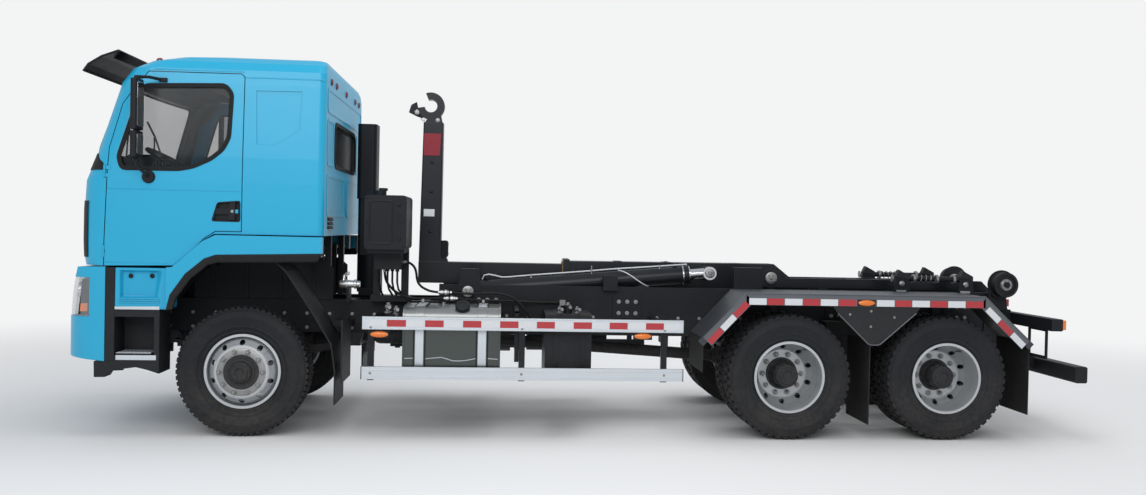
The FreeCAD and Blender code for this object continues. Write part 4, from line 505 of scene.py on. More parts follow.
def grown(shape, tree, finish, **sizes):
    """Runs a geometry tree on the mesh in hand and gives back the plain mesh that it makes."""
    mesh = bpy.data.meshes.new("seed")
    shape.to_mesh(mesh)
    shape.free()
    seed = in_scene("seed", mesh)
    step = seed.modifiers.new("grown", "NODES")
    step.node_group = tree
    sockets = {item.name: item.identifier for item in tree.interface.items_tree if item.item_type == "SOCKET"
        and item.in_out == "INPUT"}
    step[sockets["Material"]] = finish
    for label, value in sizes.items():
        step[sockets[label]] = value
    graph = bpy.context.evaluated_depsgraph_get()
    result = bpy.data.meshes.new_from_object(seed.evaluated_get(graph))
    bpy.data.objects.remove(seed)
    whole = bmesh.new()
    whole.from_mesh(result)
    bpy.data.meshes.remove(result)
    return whole


def bolted(points, facing, finish, size=0.011, height=0.008):
    """Bolt heads at the points, all facing one way."""
    marks = bmesh.new()
    for point in points:
        marks.verts.new(point)
    return grown(marks, BOLTS, finish, Size=size, Height=height, Facing=facing)


def in_row(shape, finish, count, step, *forms):
    """Adds these forms again and again, each time one step further along."""
    added(shape, grown(drawn_up(forms), REPEATED, finish, Count=count, Step=step))


CHASSIS_BLACK = coated("chassis_black", (0.006, 0.0075, 0.011), (0.035, 0.038, 0.045), roughness=0.38,
    edge=0.004, grain=(420.0, 0.06), dust=0.06, gleam=0.22)
ZINC = coated("zinc_plate", (0.3, 0.3, 0.3), roughness=0.34, metallic=0.85, grain=(600.0, 0.03), dust=0.2)
refinish(CHASSIS_BLACK, "chassis_frame", "subframe", "tipping_frame", "rear_bars", "hydraulic_tank",
    "air_intake")
RAIL_SIDE = 0.43
RAIL_BOLT_XS = [-0.95 + 0.19 * i for i in range(40)]
FISH_PLATE_XS = [1.92, 3.15, 5.08, 6.18]

fish_plates = bmesh.new()
plate_bolts = []
for x in FISH_PLATE_XS:
    plate(fish_plates, [(x - 0.13, 0.93), (x + 0.13, 0.93), (x + 0.13, 1.12), (x + 0.09, 1.155),
        (x - 0.09, 1.155), (x - 0.13, 1.12)], RAIL_SIDE + 0.0005, RAIL_SIDE + 0.01)
    plate_bolts += [(x + dx, RAIL_SIDE + 0.01, z) for dx in (-0.075, 0.0, 0.075) for z in (0.975, 1.075)]
finished(mirrored_too(fish_plates), "fish_plates", CHASSIS_BLACK, "chassis", "chassis_paint", 0.002)


def bolt_both_sides(shape, points, *sizes):
    """Zinc bolts at points given for the left side, and the same on the right."""
    for facing in (1.0, -1.0):
        added(shape, bolted([(x, facing * y, z) for x, y, z in points], (0.0, facing, 0.0), ZINC, *sizes))


single("rail_bolts", ZINC, "chassis", "cast_iron",
    (bolt_both_sides, [(x, RAIL_SIDE, z) for x in RAIL_BOLT_XS for z in (0.815, 0.935)
        if all((abs(x - middle) > 0.15 for middle in FISH_PLATE_XS))]),
    (bolt_both_sides, plate_bolts, 0.014, 0.011))


# Cab: a pressed steel shell in sky-blue paint with a clear coat, which tilts forward over the engine.
# The roof joint, the pressed ribs of the rear wall and its window rubber are separate strips.
CAB_WIDTHS = [(1.3, 1.21), (2.01, 1.21), (2.213, 1.205), (2.79, 1.172), (2.905, 1.158), (2.968, 1.126),
    (3.008, 1.06), (3.03, 0.95)]
CAB_FRONTS = [(1.3, -1.27), (1.403, -1.29), (1.537, -1.296), (1.789, -1.295), (2.01, -1.284),
    (2.213, -1.205), (2.79, -1.03), (2.905, -0.95), (2.968, -0.82), (3.008, -0.64)]
CAB_REAR = 0.62


def along_table(table, height):
    """Reads a value between the rows of a table of (height, value)."""
    for (z0, v0), (z1, v1) in zip(table, table[1:]):
        if height <= z1:
            return v0 + (v1 - v0) * (height - z0) / (z1 - z0)
    return table[-1][1]


def cab_side(height):
    return along_table(CAB_WIDTHS, height)


def cab_front(y, height):
    """The X of the cab's skin at its front, which bulges towards the middle."""
    width = cab_side(height) - 0.2
    return along_table(CAB_FRONTS, height) + 0.046 * min(1.0, (abs(y) / width) ** 2)


def offset_outline(points, distance):
    """An outline moved outward by a distance; it runs clockwise or anticlockwise."""
    area = sum(a[0] * b[1] - b[0] * a[1] for a, b in zip(points, points[1:] + points[:1]))
    way = 1.0 if area > 0 else -1.0
    moved = []
    for index, point in enumerate(points):
        before = points[index - 1]
        after = points[(index + 1) % len(points)]
        normals = []
        for a, b in ((before, point), (point, after)):
            run = math.hypot(b[0] - a[0], b[1] - a[1])
            normals.append(((b[1] - a[1]) / run * way, -(b[0] - a[0]) / run * way))
        nx = normals[0][0] + normals[1][0]
        nz = normals[0][1] + normals[1][1]
        share = distance * 2.0 / (nx * nx + nz * nz)
        moved.append((point[0] + nx * share, point[1] + nz * share))
    return moved


def softened(points, radius, steps=4):
    """An outline with its corners cut round."""
    soft = []
    for index, point in enumerate(points):
        corner = Vector(point)
        before = Vector(points[index - 1]) - corner
        after = Vector(points[(index + 1) % len(points)]) - corner
        cut = min(radius, before.length * 0.45, after.length * 0.45)
        start = corner + before.normalized() * cut
        end = corner + after.normalized() * cut
        for i in range(steps + 1):
            t = i / steps
            soft.append(tuple(start * (1 - t) ** 2 + corner * 2 * t * (1 - t) + end * t ** 2))
    return soft


def hoop(shape, outline, outward, inward, place, depth):
    """A strip round an outline. Place turns (a, b, height above the skin) into a 3-D point."""
    rings = []
    for reach, lift in ((outward, 0.0), (outward, depth * 0.7), (outward * 0.4 - inward * 0.4, depth),
            (-inward, depth * 0.6), (-inward, -0.004)):
        edge = offset_outline(outline, reach)
        rings.append([shape.verts.new(place(a, b, lift)) for a, b in edge])
    walled(shape, zip(rings, rings[1:] + rings[:1]))


def on_cab_side(x, z, lift):
    return (x, cab_side(z) + lift, z)


def on_rear_wall(y, z, lift):
    return (CAB_REAR + lift, y, z)


BLUE = (0.01, 0.35, 0.575)
CLEAR_COATED = {"roughness": 0.3, "coat": 0.25, "gleam": 0.35, "edge": 0.005, "grain": (900.0, 0.01),
    "shade": 0.035, "dust": 0.03, "reach": 1.2}
SKY_BLUE = coated("sky_blue_paint", BLUE, **CLEAR_COATED)


def smooth_step(tree, value, low, high):
    """A mask that goes from 0 to 1 between two values."""
    return new_node(tree, "ShaderNodeMapRange", {"From Min": low, "From Max": high,
        "Value": value}).outputs["Result"]


CAB_MIDDLE = (FRONT_AXLE - 0.35, 0.0, 2.2)


def shaded_inside_and_underside(tree):
    """A mask of the faces that look towards the cab's middle, and of its underside. The dark patch laid there
    is painted shade; on the inner faces it also stands for the cab's dark trim.
    """
    normal = new_node(tree, "ShaderNodeTexCoord").outputs["Normal"]
    away = vector_maths(tree, "SUBTRACT", own_place(tree), CAB_MIDDLE)["Vector"]
    facing = vector_maths(tree, "DOT_PRODUCT", away, normal)["Value"]
    underneath = smooth_step(tree, parts_of(tree, normal)["Z"], -0.8, -0.9)
    return maths(tree, "MAXIMUM", smooth_step(tree, facing, -0.04, -0.1), underneath, clamp=True)


# The shell is dark on its inner faces and its underside: painted shade, which on the inner faces also stands
# for the dark trim.
SHELL_BLUE = coated("cab_panel_paint", BLUE, patch=((0.016, 0.016, 0.018), shaded_inside_and_underside), **CLEAR_COATED)
BLACK_PLASTIC = coated("black_plastic", (0.007, 0.0085, 0.012), roughness=0.48, grain=(700.0, 0.16),
    dust=0.06, gleam=0.24)
RUBBER = coated("rubber", (0.0065, 0.007, 0.0085), roughness=0.6, grain=(500.0, 0.1), dust=0.1, gleam=0.24)
refinish(SHELL_BLUE, "cab_shell")
refinish(SKY_BLUE, "wheel_arches", "front_bumper")
refinish(CHASSIS_BLACK, "cab_tilt_arms")

roof_joint = bmesh.new()
for x0, x1, z in ((0.004, 0.612, 2.848), (-0.7, -0.012, 2.893)):
    y = cab_side(z)
    plate(roof_joint, [(x0, z - 0.005), (x1, z - 0.005), (x1, z + 0.005), (x0, z + 0.005)], y - 0.004,
        y + 0.004)
finished(mirrored_too(roof_joint), "roof_joint", SKY_BLUE, "cab", "cab_paint", 0.002)

REAR_WINDOW = softened([(-0.64, 2.2), (0.64, 2.2), (0.64, 2.54), (-0.64, 2.54)], 0.08)
REAR_RIBS = [[(-1.05, 2.62), (1.05, 2.62), (1.05, 2.8), (-1.05, 2.8)], [(-1.05, 1.78), (-0.1, 1.78),
    (-0.1, 2.1), (-1.05, 2.1)], [(0.1, 1.78), (1.05, 1.78), (1.05, 2.1), (0.1, 2.1)],
    [(-1.05, 2.19), (-0.74, 2.19), (-0.74, 2.55), (-1.05, 2.55)], [(0.74, 2.19), (1.05, 2.19), (1.05, 2.55),
    (0.74, 2.55)]]
single("rear_wall_ribs", SKY_BLUE, "cab", "cab_paint",
    *[(hoop, softened(outline, 0.05), 0.014, 0.014, on_rear_wall, 0.007) for outline in REAR_RIBS])
single("rear_window_rubber", RUBBER, "cab", "rubber", (hoop, REAR_WINDOW, 0.028, 0.004, on_rear_wall, 0.01))

single("rear_vent_slats", BLACK_PLASTIC, "cab", "black_plastic",
    (in_row, BLACK_PLASTIC, 3, (0.0, 0.0, 0.034),
        (plate, [(CAB_REAR, 1.665), (CAB_REAR + 0.016, 1.668), (CAB_REAR + 0.004, 1.692), (CAB_REAR, 1.692)],
            -0.98, -0.74)))

paired("cab_mount_dampers", ZINC, "cab", "cast_iron",
    (pipe, [(0.598, 1.13, 1.6), (0.598, 1.13, 1.44)], 0.014),
    (pipe, [(0.555, 0.86, 1.6), (0.555, 0.86, 1.47)], 0.01))


# Roof marker lamps: small lenses in a row along the top of the rear wall, and one on each roof side.
# Red and amber lamp plastic is moulded in deep colour, glossy, with fine flutes inside.
def lens_finish(name, colour, glow=0.0):
    """Moulded lamp plastic: deep colour, glossy, with fine flutes inside."""
    material, tree, skin = new_material(name)
    flutes = new_node(tree, "ShaderNodeTexWave", {"Scale": 45.0, "Vector": own_place(tree)},
        bands_direction="X").outputs["Fac"]
    raised = new_node(tree, "ShaderNodeBump", {"Strength": 0.25, "Distance": 0.002, "Height": flutes})
    feed(tree, skin, {"Base Color": mixed(tree, flutes, shaded(colour, 0.6), shaded(colour)),
        "Normal": raised.outputs[0], "Roughness": 0.12, "Coat Weight": 0.5, "Emission Color": shaded(colour),
        "Emission Strength": glow})
    return material


RED_LENS = lens_finish("red_lens", (0.48, 0.008, 0.012), 0.04)
AMBER_LENS = lens_finish("amber_lens", (0.85, 0.2, 0.015), 0.06)
DARK_RED_LENS = lens_finish("dark_red_lens", (0.16, 0.01, 0.03))
DOME = [(0.0, 0.0), (0.03, 0.0), (0.03, 0.006), (0.024, 0.013), (0.012, 0.017), (0.0, 0.018)]
single("roof_markers", DARK_RED_LENS, "cab", "lamp",
    *[(turned, DOME, (CAB_REAR - 0.001, y, 2.868), (1, 0, 0), 20) for y in (-0.88, -0.6, 0.0, 0.6, 0.88)])
paired("roof_side_lamps", DARK_RED_LENS, "cab", "lamp",
    (turned, [(0.0, 0.0), (0.026, 0.0), (0.025, 0.01), (0.016, 0.02), (0.0, 0.023)], (-0.7, 1.02, 2.976),
        (-0.178, 0.107, 0.978), 20))


# Cab glass: tinted sheets with faint streaks of dust. The windscreen sits in black rubber, and two
# black wipers lie on it.
def glass_finish(name, tint, see_through):
    material, tree, skin = new_material(name)
    film = mixed(tree, noise(tree, 3.0, 4.0), shaded(tint, 0.8), shaded(tint))
    streaks = product(tree, noise(tree, 14.0, 5.0, (1.0, 1.0, 0.25)), 0.07)
    feed(tree, skin, {"Base Color": film, "Roughness": maths(tree, "ADD", streaks, 0.16),
        "Alpha": see_through, "IOR": 1.5})
    return material


GLASS = glass_finish("tinted_glass", (0.02, 0.028, 0.034), 0.24)
refinish(GLASS, "cab_glass", "door_glass_right", "door_glass_left")


def on_windscreen(y, z, lift):
    return (cab_front(y, z) - lift, y, z)


WINDSCREEN = softened([(-1.015, 2.235), (-0.5, 2.235), (0.0, 2.235), (0.5, 2.235), (1.015, 2.235),
    (0.985, 2.51), (0.955, 2.782), (0.48, 2.782), (0.0, 2.782), (-0.48, 2.782), (-0.955, 2.782),
    (-0.985, 2.51)], 0.06, 3)
single("windscreen_rubber", RUBBER, "cab", "rubber", (hoop, WINDSCREEN, 0.024, 0.012, on_windscreen, 0.006))

wipers = bmesh.new()
for y0, y1, y2, y3 in ((0.62, 0.34, 0.66, 0.02), (-0.1, -0.38, -0.06, -0.7)):
    z1 = 2.46
    foot = (cab_front(y0, 2.17) - 0.02, y0, 2.17)
    tip = (cab_front(y1, z1) - 0.014, y1, z1)
    turned(wipers, [(0.0, 0.0), (0.022, 0.0), (0.022, 0.02), (0.0, 0.024)], foot, (-1, 0, 0.3), 16)
    pipe(wipers, [foot, (cab_front(y0, 2.27) - 0.03, y0 * 0.75 + y1 * 0.25, 2.27), tip], 0.008, 8)
    ends = ((y2, 2.3), (y1, z1), (y3, 2.57))
    pipe(wipers, [(cab_front(y, z) - 0.006, y, z) for y, z in ends], 0.009, 8)
finished(wipers, "wipers", BLACK_PLASTIC, "cab", "black_plastic")


# Cab front: black cowl, corner slits and grille in grained plastic, with a fine mesh behind the slots,
# and a smoked visor over the windscreen in a black rim.
refinish(BLACK_PLASTIC, "cab_trim")
lattice = bmesh.new()
bar_y = -0.7
pipe(lattice, [(cab_front(0.0, z) - 0.001, bar_y, z) for z in (1.46, 1.7, 1.91)], 0.003, 6)
mesh_bars = grown(lattice, REPEATED, BLACK_PLASTIC, Count=57, Step=(0.0, 0.025, 0.0))
for vert in mesh_bars.verts:
    vert.co.x = cab_front(vert.co.y, vert.co.z) - 0.0035 + (vert.co.x - cab_front(0.0, vert.co.z)) * 0.5
finished(mesh_bars, "grille_mesh", BLACK_PLASTIC, "cab", "black_plastic")
single("grille_bars", ZINC, "cab", "chrome",
    *[(pipe, [(cab_front(y, z) - 0.012, y, z) for y in (-0.74, -0.5, -0.25, 0.0, 0.25, 0.5, 0.74)], 0.009,
        8) for z in (1.487, 1.687, 1.887)])

VISOR = coated("smoked_visor", (0.005, 0.006, 0.0075), roughness=0.34, grain=(200.0, 0.02), dust=0.0,
    gleam=0.12)
refinish(VISOR, "sun_visor")
single("visor_rim", BLACK_PLASTIC, "cab", "black_plastic",
    (pipe, [(-1.262, y, 2.872) for y in (-1.055, -0.5, 0.0, 0.5, 1.055)], 0.008, 8),
    *[(pipe, [(-1.262, y, 2.872), (-1.226, y, 2.928), (-1.128, y, 2.994), (-1.004, y, 3.04)], 0.008,
        8) for y in (-1.056, 1.056)])


# Doors: pressed leaves with a black handle in a pocket, window rubber, and a belt line pressed in the skin.
# Two mirrors stand on a tube from each door; their glass faces rearward.
refinish(SKY_BLUE, "door_right", "door_left")
refinish(BLACK_PLASTIC, "mirror_right", "mirror_left")
MIRROR_GLASS = coated("mirror_glass", (0.6, 0.63, 0.66), roughness=0.03, metallic=1.0, shade=0.02, dust=0.03,
    grain=(100.0, 0.0))
DOOR_WINDOW = [(-0.917, 2.112), (-0.941, 2.199), (-0.865, 2.459), (-0.788, 2.719), (-0.753, 2.756),
    (-0.45, 2.768), (-0.155, 2.777), (-0.105, 2.714), (-0.112, 2.54), (-0.119, 2.371), (-0.163, 2.277),
    (-0.251, 2.201), (-0.385, 2.137), (-0.492, 2.115)]
POCKET = [(-0.234, 1.712), (-0.193, 1.856), (-0.021, 1.872), (-0.019, 1.71)]


def sided(shape, side):
    """Puts a mesh made for the right side on the named side."""
    if side == "left":
        for vert in shape.verts:
            vert.co.y = -vert.co.y
    return shape


def on_door(side, name, finish, slot, *forms, **more):
    """A piece of one door, made of forms that are given for the right door."""
    finished(sided(drawn_up(forms), side), name + side, finish, "door_" + side, slot, **more)


for side in ("left", "right"):
    on_door(side, "window_rubber_", RUBBER, "rubber",
        (hoop, softened(DOOR_WINDOW, 0.03, 3), 0.02, 0.014, on_cab_side, 0.006))

    on_door(side, "door_handle_", BLACK_PLASTIC, "black_plastic",
        (plate, offset_outline(POCKET, -0.003), 1.1825, 1.1845),
        (hoop, softened(POCKET, 0.02), 0.004, 0.006, lambda x, z, lift: (x, 1.209 + lift, z), 0.004),
        (plate, [(-0.112, 1.722), (-0.06, 1.722), (-0.056, 1.862), (-0.1, 1.858)], 1.186, 1.2085),
        (plate, [(-0.222, 1.765), (-0.1, 1.765), (-0.1, 1.812), (-0.208, 1.812)], 1.196, 1.2075),
        rounding=0.003)
    on_door(side, "door_lock_", ZINC, "chrome",
        (turned, [(0.0, 0.0), (0.012, 0.0), (0.012, 0.003), (0.0, 0.004)], (-0.08, 1.2083, 1.79), (0, 1, 0),
            16))

    mirrors = bmesh.new()
    for z0, z1, half in ((2.42, 2.766, 0.076), (2.208, 2.37, 0.072)):
        outline = softened([(1.335 - half, z0), (1.335 + half, z0), (1.335 + half, z1), (1.335 - half, z1)],
            0.02)
        crosswise(mirrors, outline, -0.7455, -0.7435)
    finished(sided(mirrors, side), "mirror_glass_" + side, MIRROR_GLASS, "door_" + side, "chrome")
    on_door(side, "mirror_joints_", BLACK_PLASTIC, "black_plastic",
        (turned, [(0.0, 0.0), (0.052, 0.0), (0.05, 0.01), (0.036, 0.02), (0.0, 0.022)],
            (-0.716, 1.209, 2.045), (0, 1, 0), 24),
        *[(block, x - 0.02, x + 0.02, 1.315, 1.355, z - 0.014, z + 0.014) for x, z in ((-0.772, 2.395),
            (-0.772, 2.8), (-0.772, 2.165))],
        (block, -0.655, -0.595, 1.15, 1.192, 2.788, 2.822), rounding=0.004)
    on_door(side, "door_pressings_", SKY_BLUE, "cab_paint",
        (block, -1.02, -0.012, 1.2085, 1.2125, 1.944, 1.95),
        (block, -1.035, -0.56, 1.2085, 1.2125, 1.372, 1.38), rounding=0.0015)


# Bumper: a painted shell with a clear lamp in each corner over a reflector housing, a mesh in its lower
# opening, fog lamps, two towing eyes below and a plain white plate.
HEADLAMP_GLASS = glass_finish("lamp_glass", (0.55, 0.58, 0.6), 0.3)
REFLECTOR = coated("reflector", (0.75, 0.76, 0.78), roughness=0.08, metallic=1.0, shade=0.02, dust=0.0,
    grain=(100.0, 0.0))
WHITE_PAINT = coated("white_plate", (0.66, 0.67, 0.68), roughness=0.35, grain=(500.0, 0.03), shade=0.03,
    dust=0.12)
refinish(HEADLAMP_GLASS, "headlamps")
paired("headlamp_housings", BLACK_PLASTIC, "chassis", "black_plastic",
    (plate, [(-1.245, 0.962), (-1.16, 0.962), (-1.16, 1.24), (-1.215, 1.24)], 0.852, 1.168), rounding=0.004)
BOWL = [(0.0, 0.012), (0.03, 0.014), (0.052, 0.026), (0.062, 0.048), (0.066, 0.048), (0.066, 0.0), (0.0, 0.0)]
paired("headlamp_bowls", REFLECTOR, "chassis", "head_lamp",
    *[(turned, BOWL, (x, y, z), (-1, 0, 0), 28) for x, y, z in ((-1.232, 0.93, 1.045), (-1.222, 0.93, 1.175),
        (-1.205, 1.085, 1.15))])
paired("indicator_lenses", AMBER_LENS, "chassis", "lamp",
    (plate, [(-1.232, 0.985), (-1.172, 0.985), (-1.172, 1.05), (-1.226, 1.05)], 1.06, 1.1695), rounding=0.004)
paired("fog_lamps", REFLECTOR, "chassis", "head_lamp",
    (turned, [(0.0, 0.0), (0.062, 0.0), (0.062, 0.01), (0.052, 0.016), (0.048, 0.008), (0.0, 0.006)],
        (-1.3438, 0.86, 0.8), (-1, 0, 0), 28))
single("bumper_mesh", BLACK_PLASTIC, "chassis", "black_plastic",
    (in_row, BLACK_PLASTIC, 47, (0.0, 0.03, 0.0),
        (pipe, [(-1.315, -0.69, 0.765), (-1.315, -0.69, 1.0)], 0.004, 6)))
single("front_plate", WHITE_PAINT, "chassis", "cab_paint",
    (block, -1.36, -1.355, -0.225, 0.225, 0.64, 0.742), rounding=0.001)
paired("towing_eyes", CHASSIS_BLACK, "chassis", "chassis_paint",
    (plate, [(-1.141, 0.463), (-1.046, 0.468), (-1.044, 0.7), (-1.15, 0.72)], 0.56, 0.59),
    (plate, [(-1.141, 0.463), (-1.046, 0.468), (-1.044, 0.7), (-1.15, 0.72)], 0.69, 0.72),
    (stud, 0.02, 0.17, (-1.095, 0.555, 0.52), (0, 1, 0), 16), rounding=0.003)


# Entry: a blue box with two round holes over ribbed treads, and a black step with a bright tread below. The
# holes are black discs of painted shade.
# The box is a pressing; its treads are folded aluminium with raised ribs for grip.
RAIL_ALUMINIUM = coated("rail_aluminium", (0.6, 0.64, 0.68), roughness=0.3, metallic=0.55, shade=0.05,
    grain=(300.0, 0.02), drawn=(0.15, 1.0, 6.0), dust=0.14, reach=1.2)
# Black for the holes: painted shade, a dark disc where the box behind is only in shadow.
HOLE_SHADE = coated("hole_shade", (0.006, 0.006, 0.007), roughness=0.8, dust=0.0)
STEP_X0, STEP_X1, STEP_OUT = -0.957, -0.572, 1.205
FRONT_FACE = [(STEP_X0, 1.01), (STEP_X1, 1.01), (STEP_X1, 1.334), (STEP_X0, 1.334)]
OPENING = [(-0.925, 1.095), (-0.64, 1.095), (-0.6, 1.315), (-0.925, 1.315)]
BACK_PANEL = [(-0.905, 1.105), (-0.665, 1.105), (-0.655, 1.3), (-0.905, 1.3)]
upper_box = bmesh.new()
outer = [upper_box.verts.new((x, STEP_OUT, z)) for x, z in FRONT_FACE]
mouth = [upper_box.verts.new((x, STEP_OUT, z)) for x, z in OPENING]
floor_panel = [upper_box.verts.new((x, STEP_OUT - 0.045, z)) for x, z in BACK_PANEL]
rear = [upper_box.verts.new((x, 0.9, z)) for x, z in FRONT_FACE]
walled(upper_box, ((outer, mouth), (mouth, floor_panel), (rear, outer)))
upper_box.faces.new(floor_panel)
upper_box.faces.new(rear[::-1])
finished(mirrored_too(upper_box), "step_box_pressing", SKY_BLUE, "chassis", "cab_paint", 0.008,
    stands_for=("step_boxes",))
# The two holes are black discs: painted shade.
paired("step_box_holes", HOLE_SHADE, "chassis", "rubber",
    *[(turned, [(0.0, -0.001), (0.019, -0.001), (0.019, 0.002), (0.0, 0.002)], (x, 1.16, z), (0, 1, 0),
        24) for x, z in ((-0.851, 1.268), (-0.69, 1.27))])
paired("step_hole_rims", SKY_BLUE, "chassis", "cab_paint",
    *[(turned, [(0.019, -0.001), (0.026, -0.001), (0.024, 0.005), (0.019, 0.005)], (x, 1.16, z), (0, 1, 0),
        24) for x, z in ((-0.851, 1.268), (-0.69, 1.27))])
paired("step_ribs", SKY_BLUE, "chassis", "cab_paint",
    (in_row, SKY_BLUE, 3, (0.0, 0.0, 0.0165),
        (block, -0.925, -0.622, 1.2, 1.2125, 1.056, 1.066)), rounding=0.002)
paired("step_treads", RAIL_ALUMINIUM, "chassis", "aluminium",
    (plate, [(-0.955, 1.008), (-0.618, 1.008), (-0.618, 1.034), (-0.955, 1.03)], 1.196, 1.2155),
    (block, -0.947, -0.642, 1.196, 1.204, 0.612, 0.65),
    (block, -0.947, -0.682, 0.992, 1.2, 0.6645, 0.6695), rounding=0.002)
paired("tread_ribs", RAIL_ALUMINIUM, "chassis", "aluminium",
    (in_row, RAIL_ALUMINIUM, 9, (0.029, 0.0, 0.0),
        (block, -0.935, -0.92, 1.005, 1.19, 0.6697, 0.6735)), rounding=0.001)
# The upper block is black put in the gap between the bumper and the step box: painted shade.
paired("step_ends_and_gap_shade", BLACK_PLASTIC, "chassis", "black_plastic",
    (block, -1.029, -0.958, 0.96, 1.2045, 0.604, 1.336),
    (plate, [(-1.112, 0.601), (-1.109, 0.476), (-1.027, 0.477), (-1.004, 0.515), (-0.96, 0.54),
        (-0.96, 0.603)], 1.06, 1.2005), rounding=0.003)
refinish(BLACK_PLASTIC, "entry_steps", "front_mudguards")

ARCH_EDGE = [(-0.564, 1.014), (-0.5365, 1.129), (-0.4235, 1.2945), (-0.2815, 1.4165), (-0.194, 1.4485),
    (0.25, 1.4605), (0.61, 1.4715)]
ARCH_BEAD = [(-0.522, 1.014), (-0.494, 1.106), (-0.386, 1.261), (-0.254, 1.372), (-0.181, 1.393),
    (0.25, 1.401), (0.585, 1.41)]
paired("arch_lips", RUBBER, "chassis", "rubber",
    (plate, ARCH_EDGE + ARCH_BEAD[::-1], 1.184, 1.2435),
    (pipe, [(x, 1.2375, z) for x, z in ARCH_BEAD], 0.007, 8), rounding=0.004)
paired("engine_shields", BLACK_PLASTIC, "chassis", "black_plastic",
    (plate, [(-0.56, 1.057), (0.6, 1.057), (0.6, 1.33), (0.52, 1.395), (-0.3, 1.395), (-0.56, 1.24)], 0.437,
        0.443),
    *[(block, x, x + 0.03, 0.443, 0.451, 1.057, 1.36) for x in (-0.42, -0.14, 0.14, 0.42)], rounding=0.002)


# Tanks: the fuel tank is rolled aluminium with bright straps on rubber strips and a black filler cap.
# The oil tank, air reservoir and silencer are painted steel; their fittings are zinc plated brass.
def painted_shade_upright(tree):
    """A mask of the faces that stand upright, which are given a painted shade."""
    return smooth_step(tree, facing_up(tree), 0.45, 0.1)


# The tank's upright faces take a dark colour: painted shade on the bright aluminium, whose top stays bright.
TANK_ALUMINIUM = coated("tank_aluminium", (0.33, 0.34, 0.34), roughness=0.24, metallic=0.92, shade=0.1,
    grain=(500.0, 0.02), drawn=(0.4, 1.0, 14.0), dust=0.06, reach=0.9, patch=((0.082, 0.092, 0.089), painted_shade_upright))
refinish(TANK_ALUMINIUM, "fuel_tank")
refinish(CHASSIS_BLACK, "side_tanks", "engine_block")
TANK_Y0, TANK_Y1, TANK_Z0, TANK_Z1 = 0.52, 1.165, 0.47, 1.05


def band_outline(y0, y1, z0, z1, corner):
    return softened([(y0, z0), (y1, z0), (y1, z1), (y0, z1)], corner, 6)


def band(shape, x0, x1, ring, thick):
    """A strap round a tank, whose section across the truck is the given outline."""
    inner = [shape.verts.new((x0, y, z)) for y, z in ring]
    rows = [inner]
    for x, reach in ((x0, thick), (x1, thick), (x1, 0.0)):
        edge = offset_outline(ring, reach) if reach else ring
        rows.append([shape.verts.new((x, y, z)) for y, z in edge])
    walled(shape, zip(rows, rows[1:] + rows[:1]))


tank_ring = band_outline(-TANK_Y1 - 0.001, -TANK_Y0 + 0.001, TANK_Z0 - 0.001, TANK_Z1 + 0.001, 0.16)
strips = bmesh.new()
straps = bmesh.new()
strap_bolts = bmesh.new()
for x in (1.388, 1.889):
    for edge in (-0.05, 0.04):
        band(strips, x + edge, x + edge + 0.01, tank_ring, 0.005)
    band(straps, x - 0.033, x + 0.033, band_outline(-TANK_Y1 - 0.007, -TANK_Y0 + 0.007, TANK_Z0 - 0.007,
        TANK_Z1 + 0.007, 0.165), 0.003)
    pipe(strap_bolts, [(x, -0.8, 1.052), (x, -0.8, 1.1)], 0.008)
    pipe(strap_bolts, [(x, -0.785, 1.085), (x, -0.815, 1.085)], 0.014, 6)
finished(strips, "strap_rubbers", RUBBER, "chassis", "rubber")
finished(straps, "tank_straps", RAIL_ALUMINIUM, "chassis", "aluminium")
finished(strap_bolts, "strap_bolts", ZINC, "chassis", "cast_iron")

# Bright lines along the pressed swages on the dark tank face: painted highlight on real swages.
single("tank_swage_highlights", RAIL_ALUMINIUM, "chassis", "aluminium",
    (pipe, [(1.435, -1.166, 0.639), (1.5, -1.166, 0.646), (1.565, -1.166, 0.652), (1.61, -1.166, 0.64),
        (1.655, -1.166, 0.625), (1.71, -1.166, 0.624), (1.763, -1.166, 0.629), (1.842, -1.166, 0.645)],
        0.0035, 6),
    (pipe, [(1.272, -1.166, 0.641), (1.34, -1.166, 0.643)], 0.0035, 6),
    (pipe, [(1.936, -1.166, 0.645), (2.018, -1.166, 0.641)], 0.0035, 6))

CAP_AT, CAP_AXIS = (1.727, -1.085, 1.022), (0.0, -0.62, 0.78)
single("filler_caps", BLACK_PLASTIC, "chassis", "black_plastic",
    (turned, [(0.0, 0.0), (0.05, 0.0), (0.05, 0.03), (0.058, 0.032), (0.06, 0.066), (0.05, 0.074),
        (0.03, 0.074), (0.028, 0.07), (0.0, 0.07)], CAP_AT, CAP_AXIS, 36),
    (turned, [(0.0, 0.0), (0.036, 0.0), (0.036, 0.02), (0.03, 0.022), (0.0, 0.022)], (1.06, -0.95, 1.989),
        (0, 0, 1), 28))
single("tank_fittings", ZINC, "chassis", "cast_iron",
    (turned, [(0.0, -0.006), (0.066, -0.006), (0.066, 0.006), (0.058, 0.012), (0.0, 0.012)], CAP_AT,
        CAP_AXIS, 36),
    (stud, 0.014, 0.03, (1.565, -0.9, 1.05), (0, 0, 1)),
    (stud, 0.026, 0.008, (1.565, -0.9, 1.05), (0, 0, 1), 16))

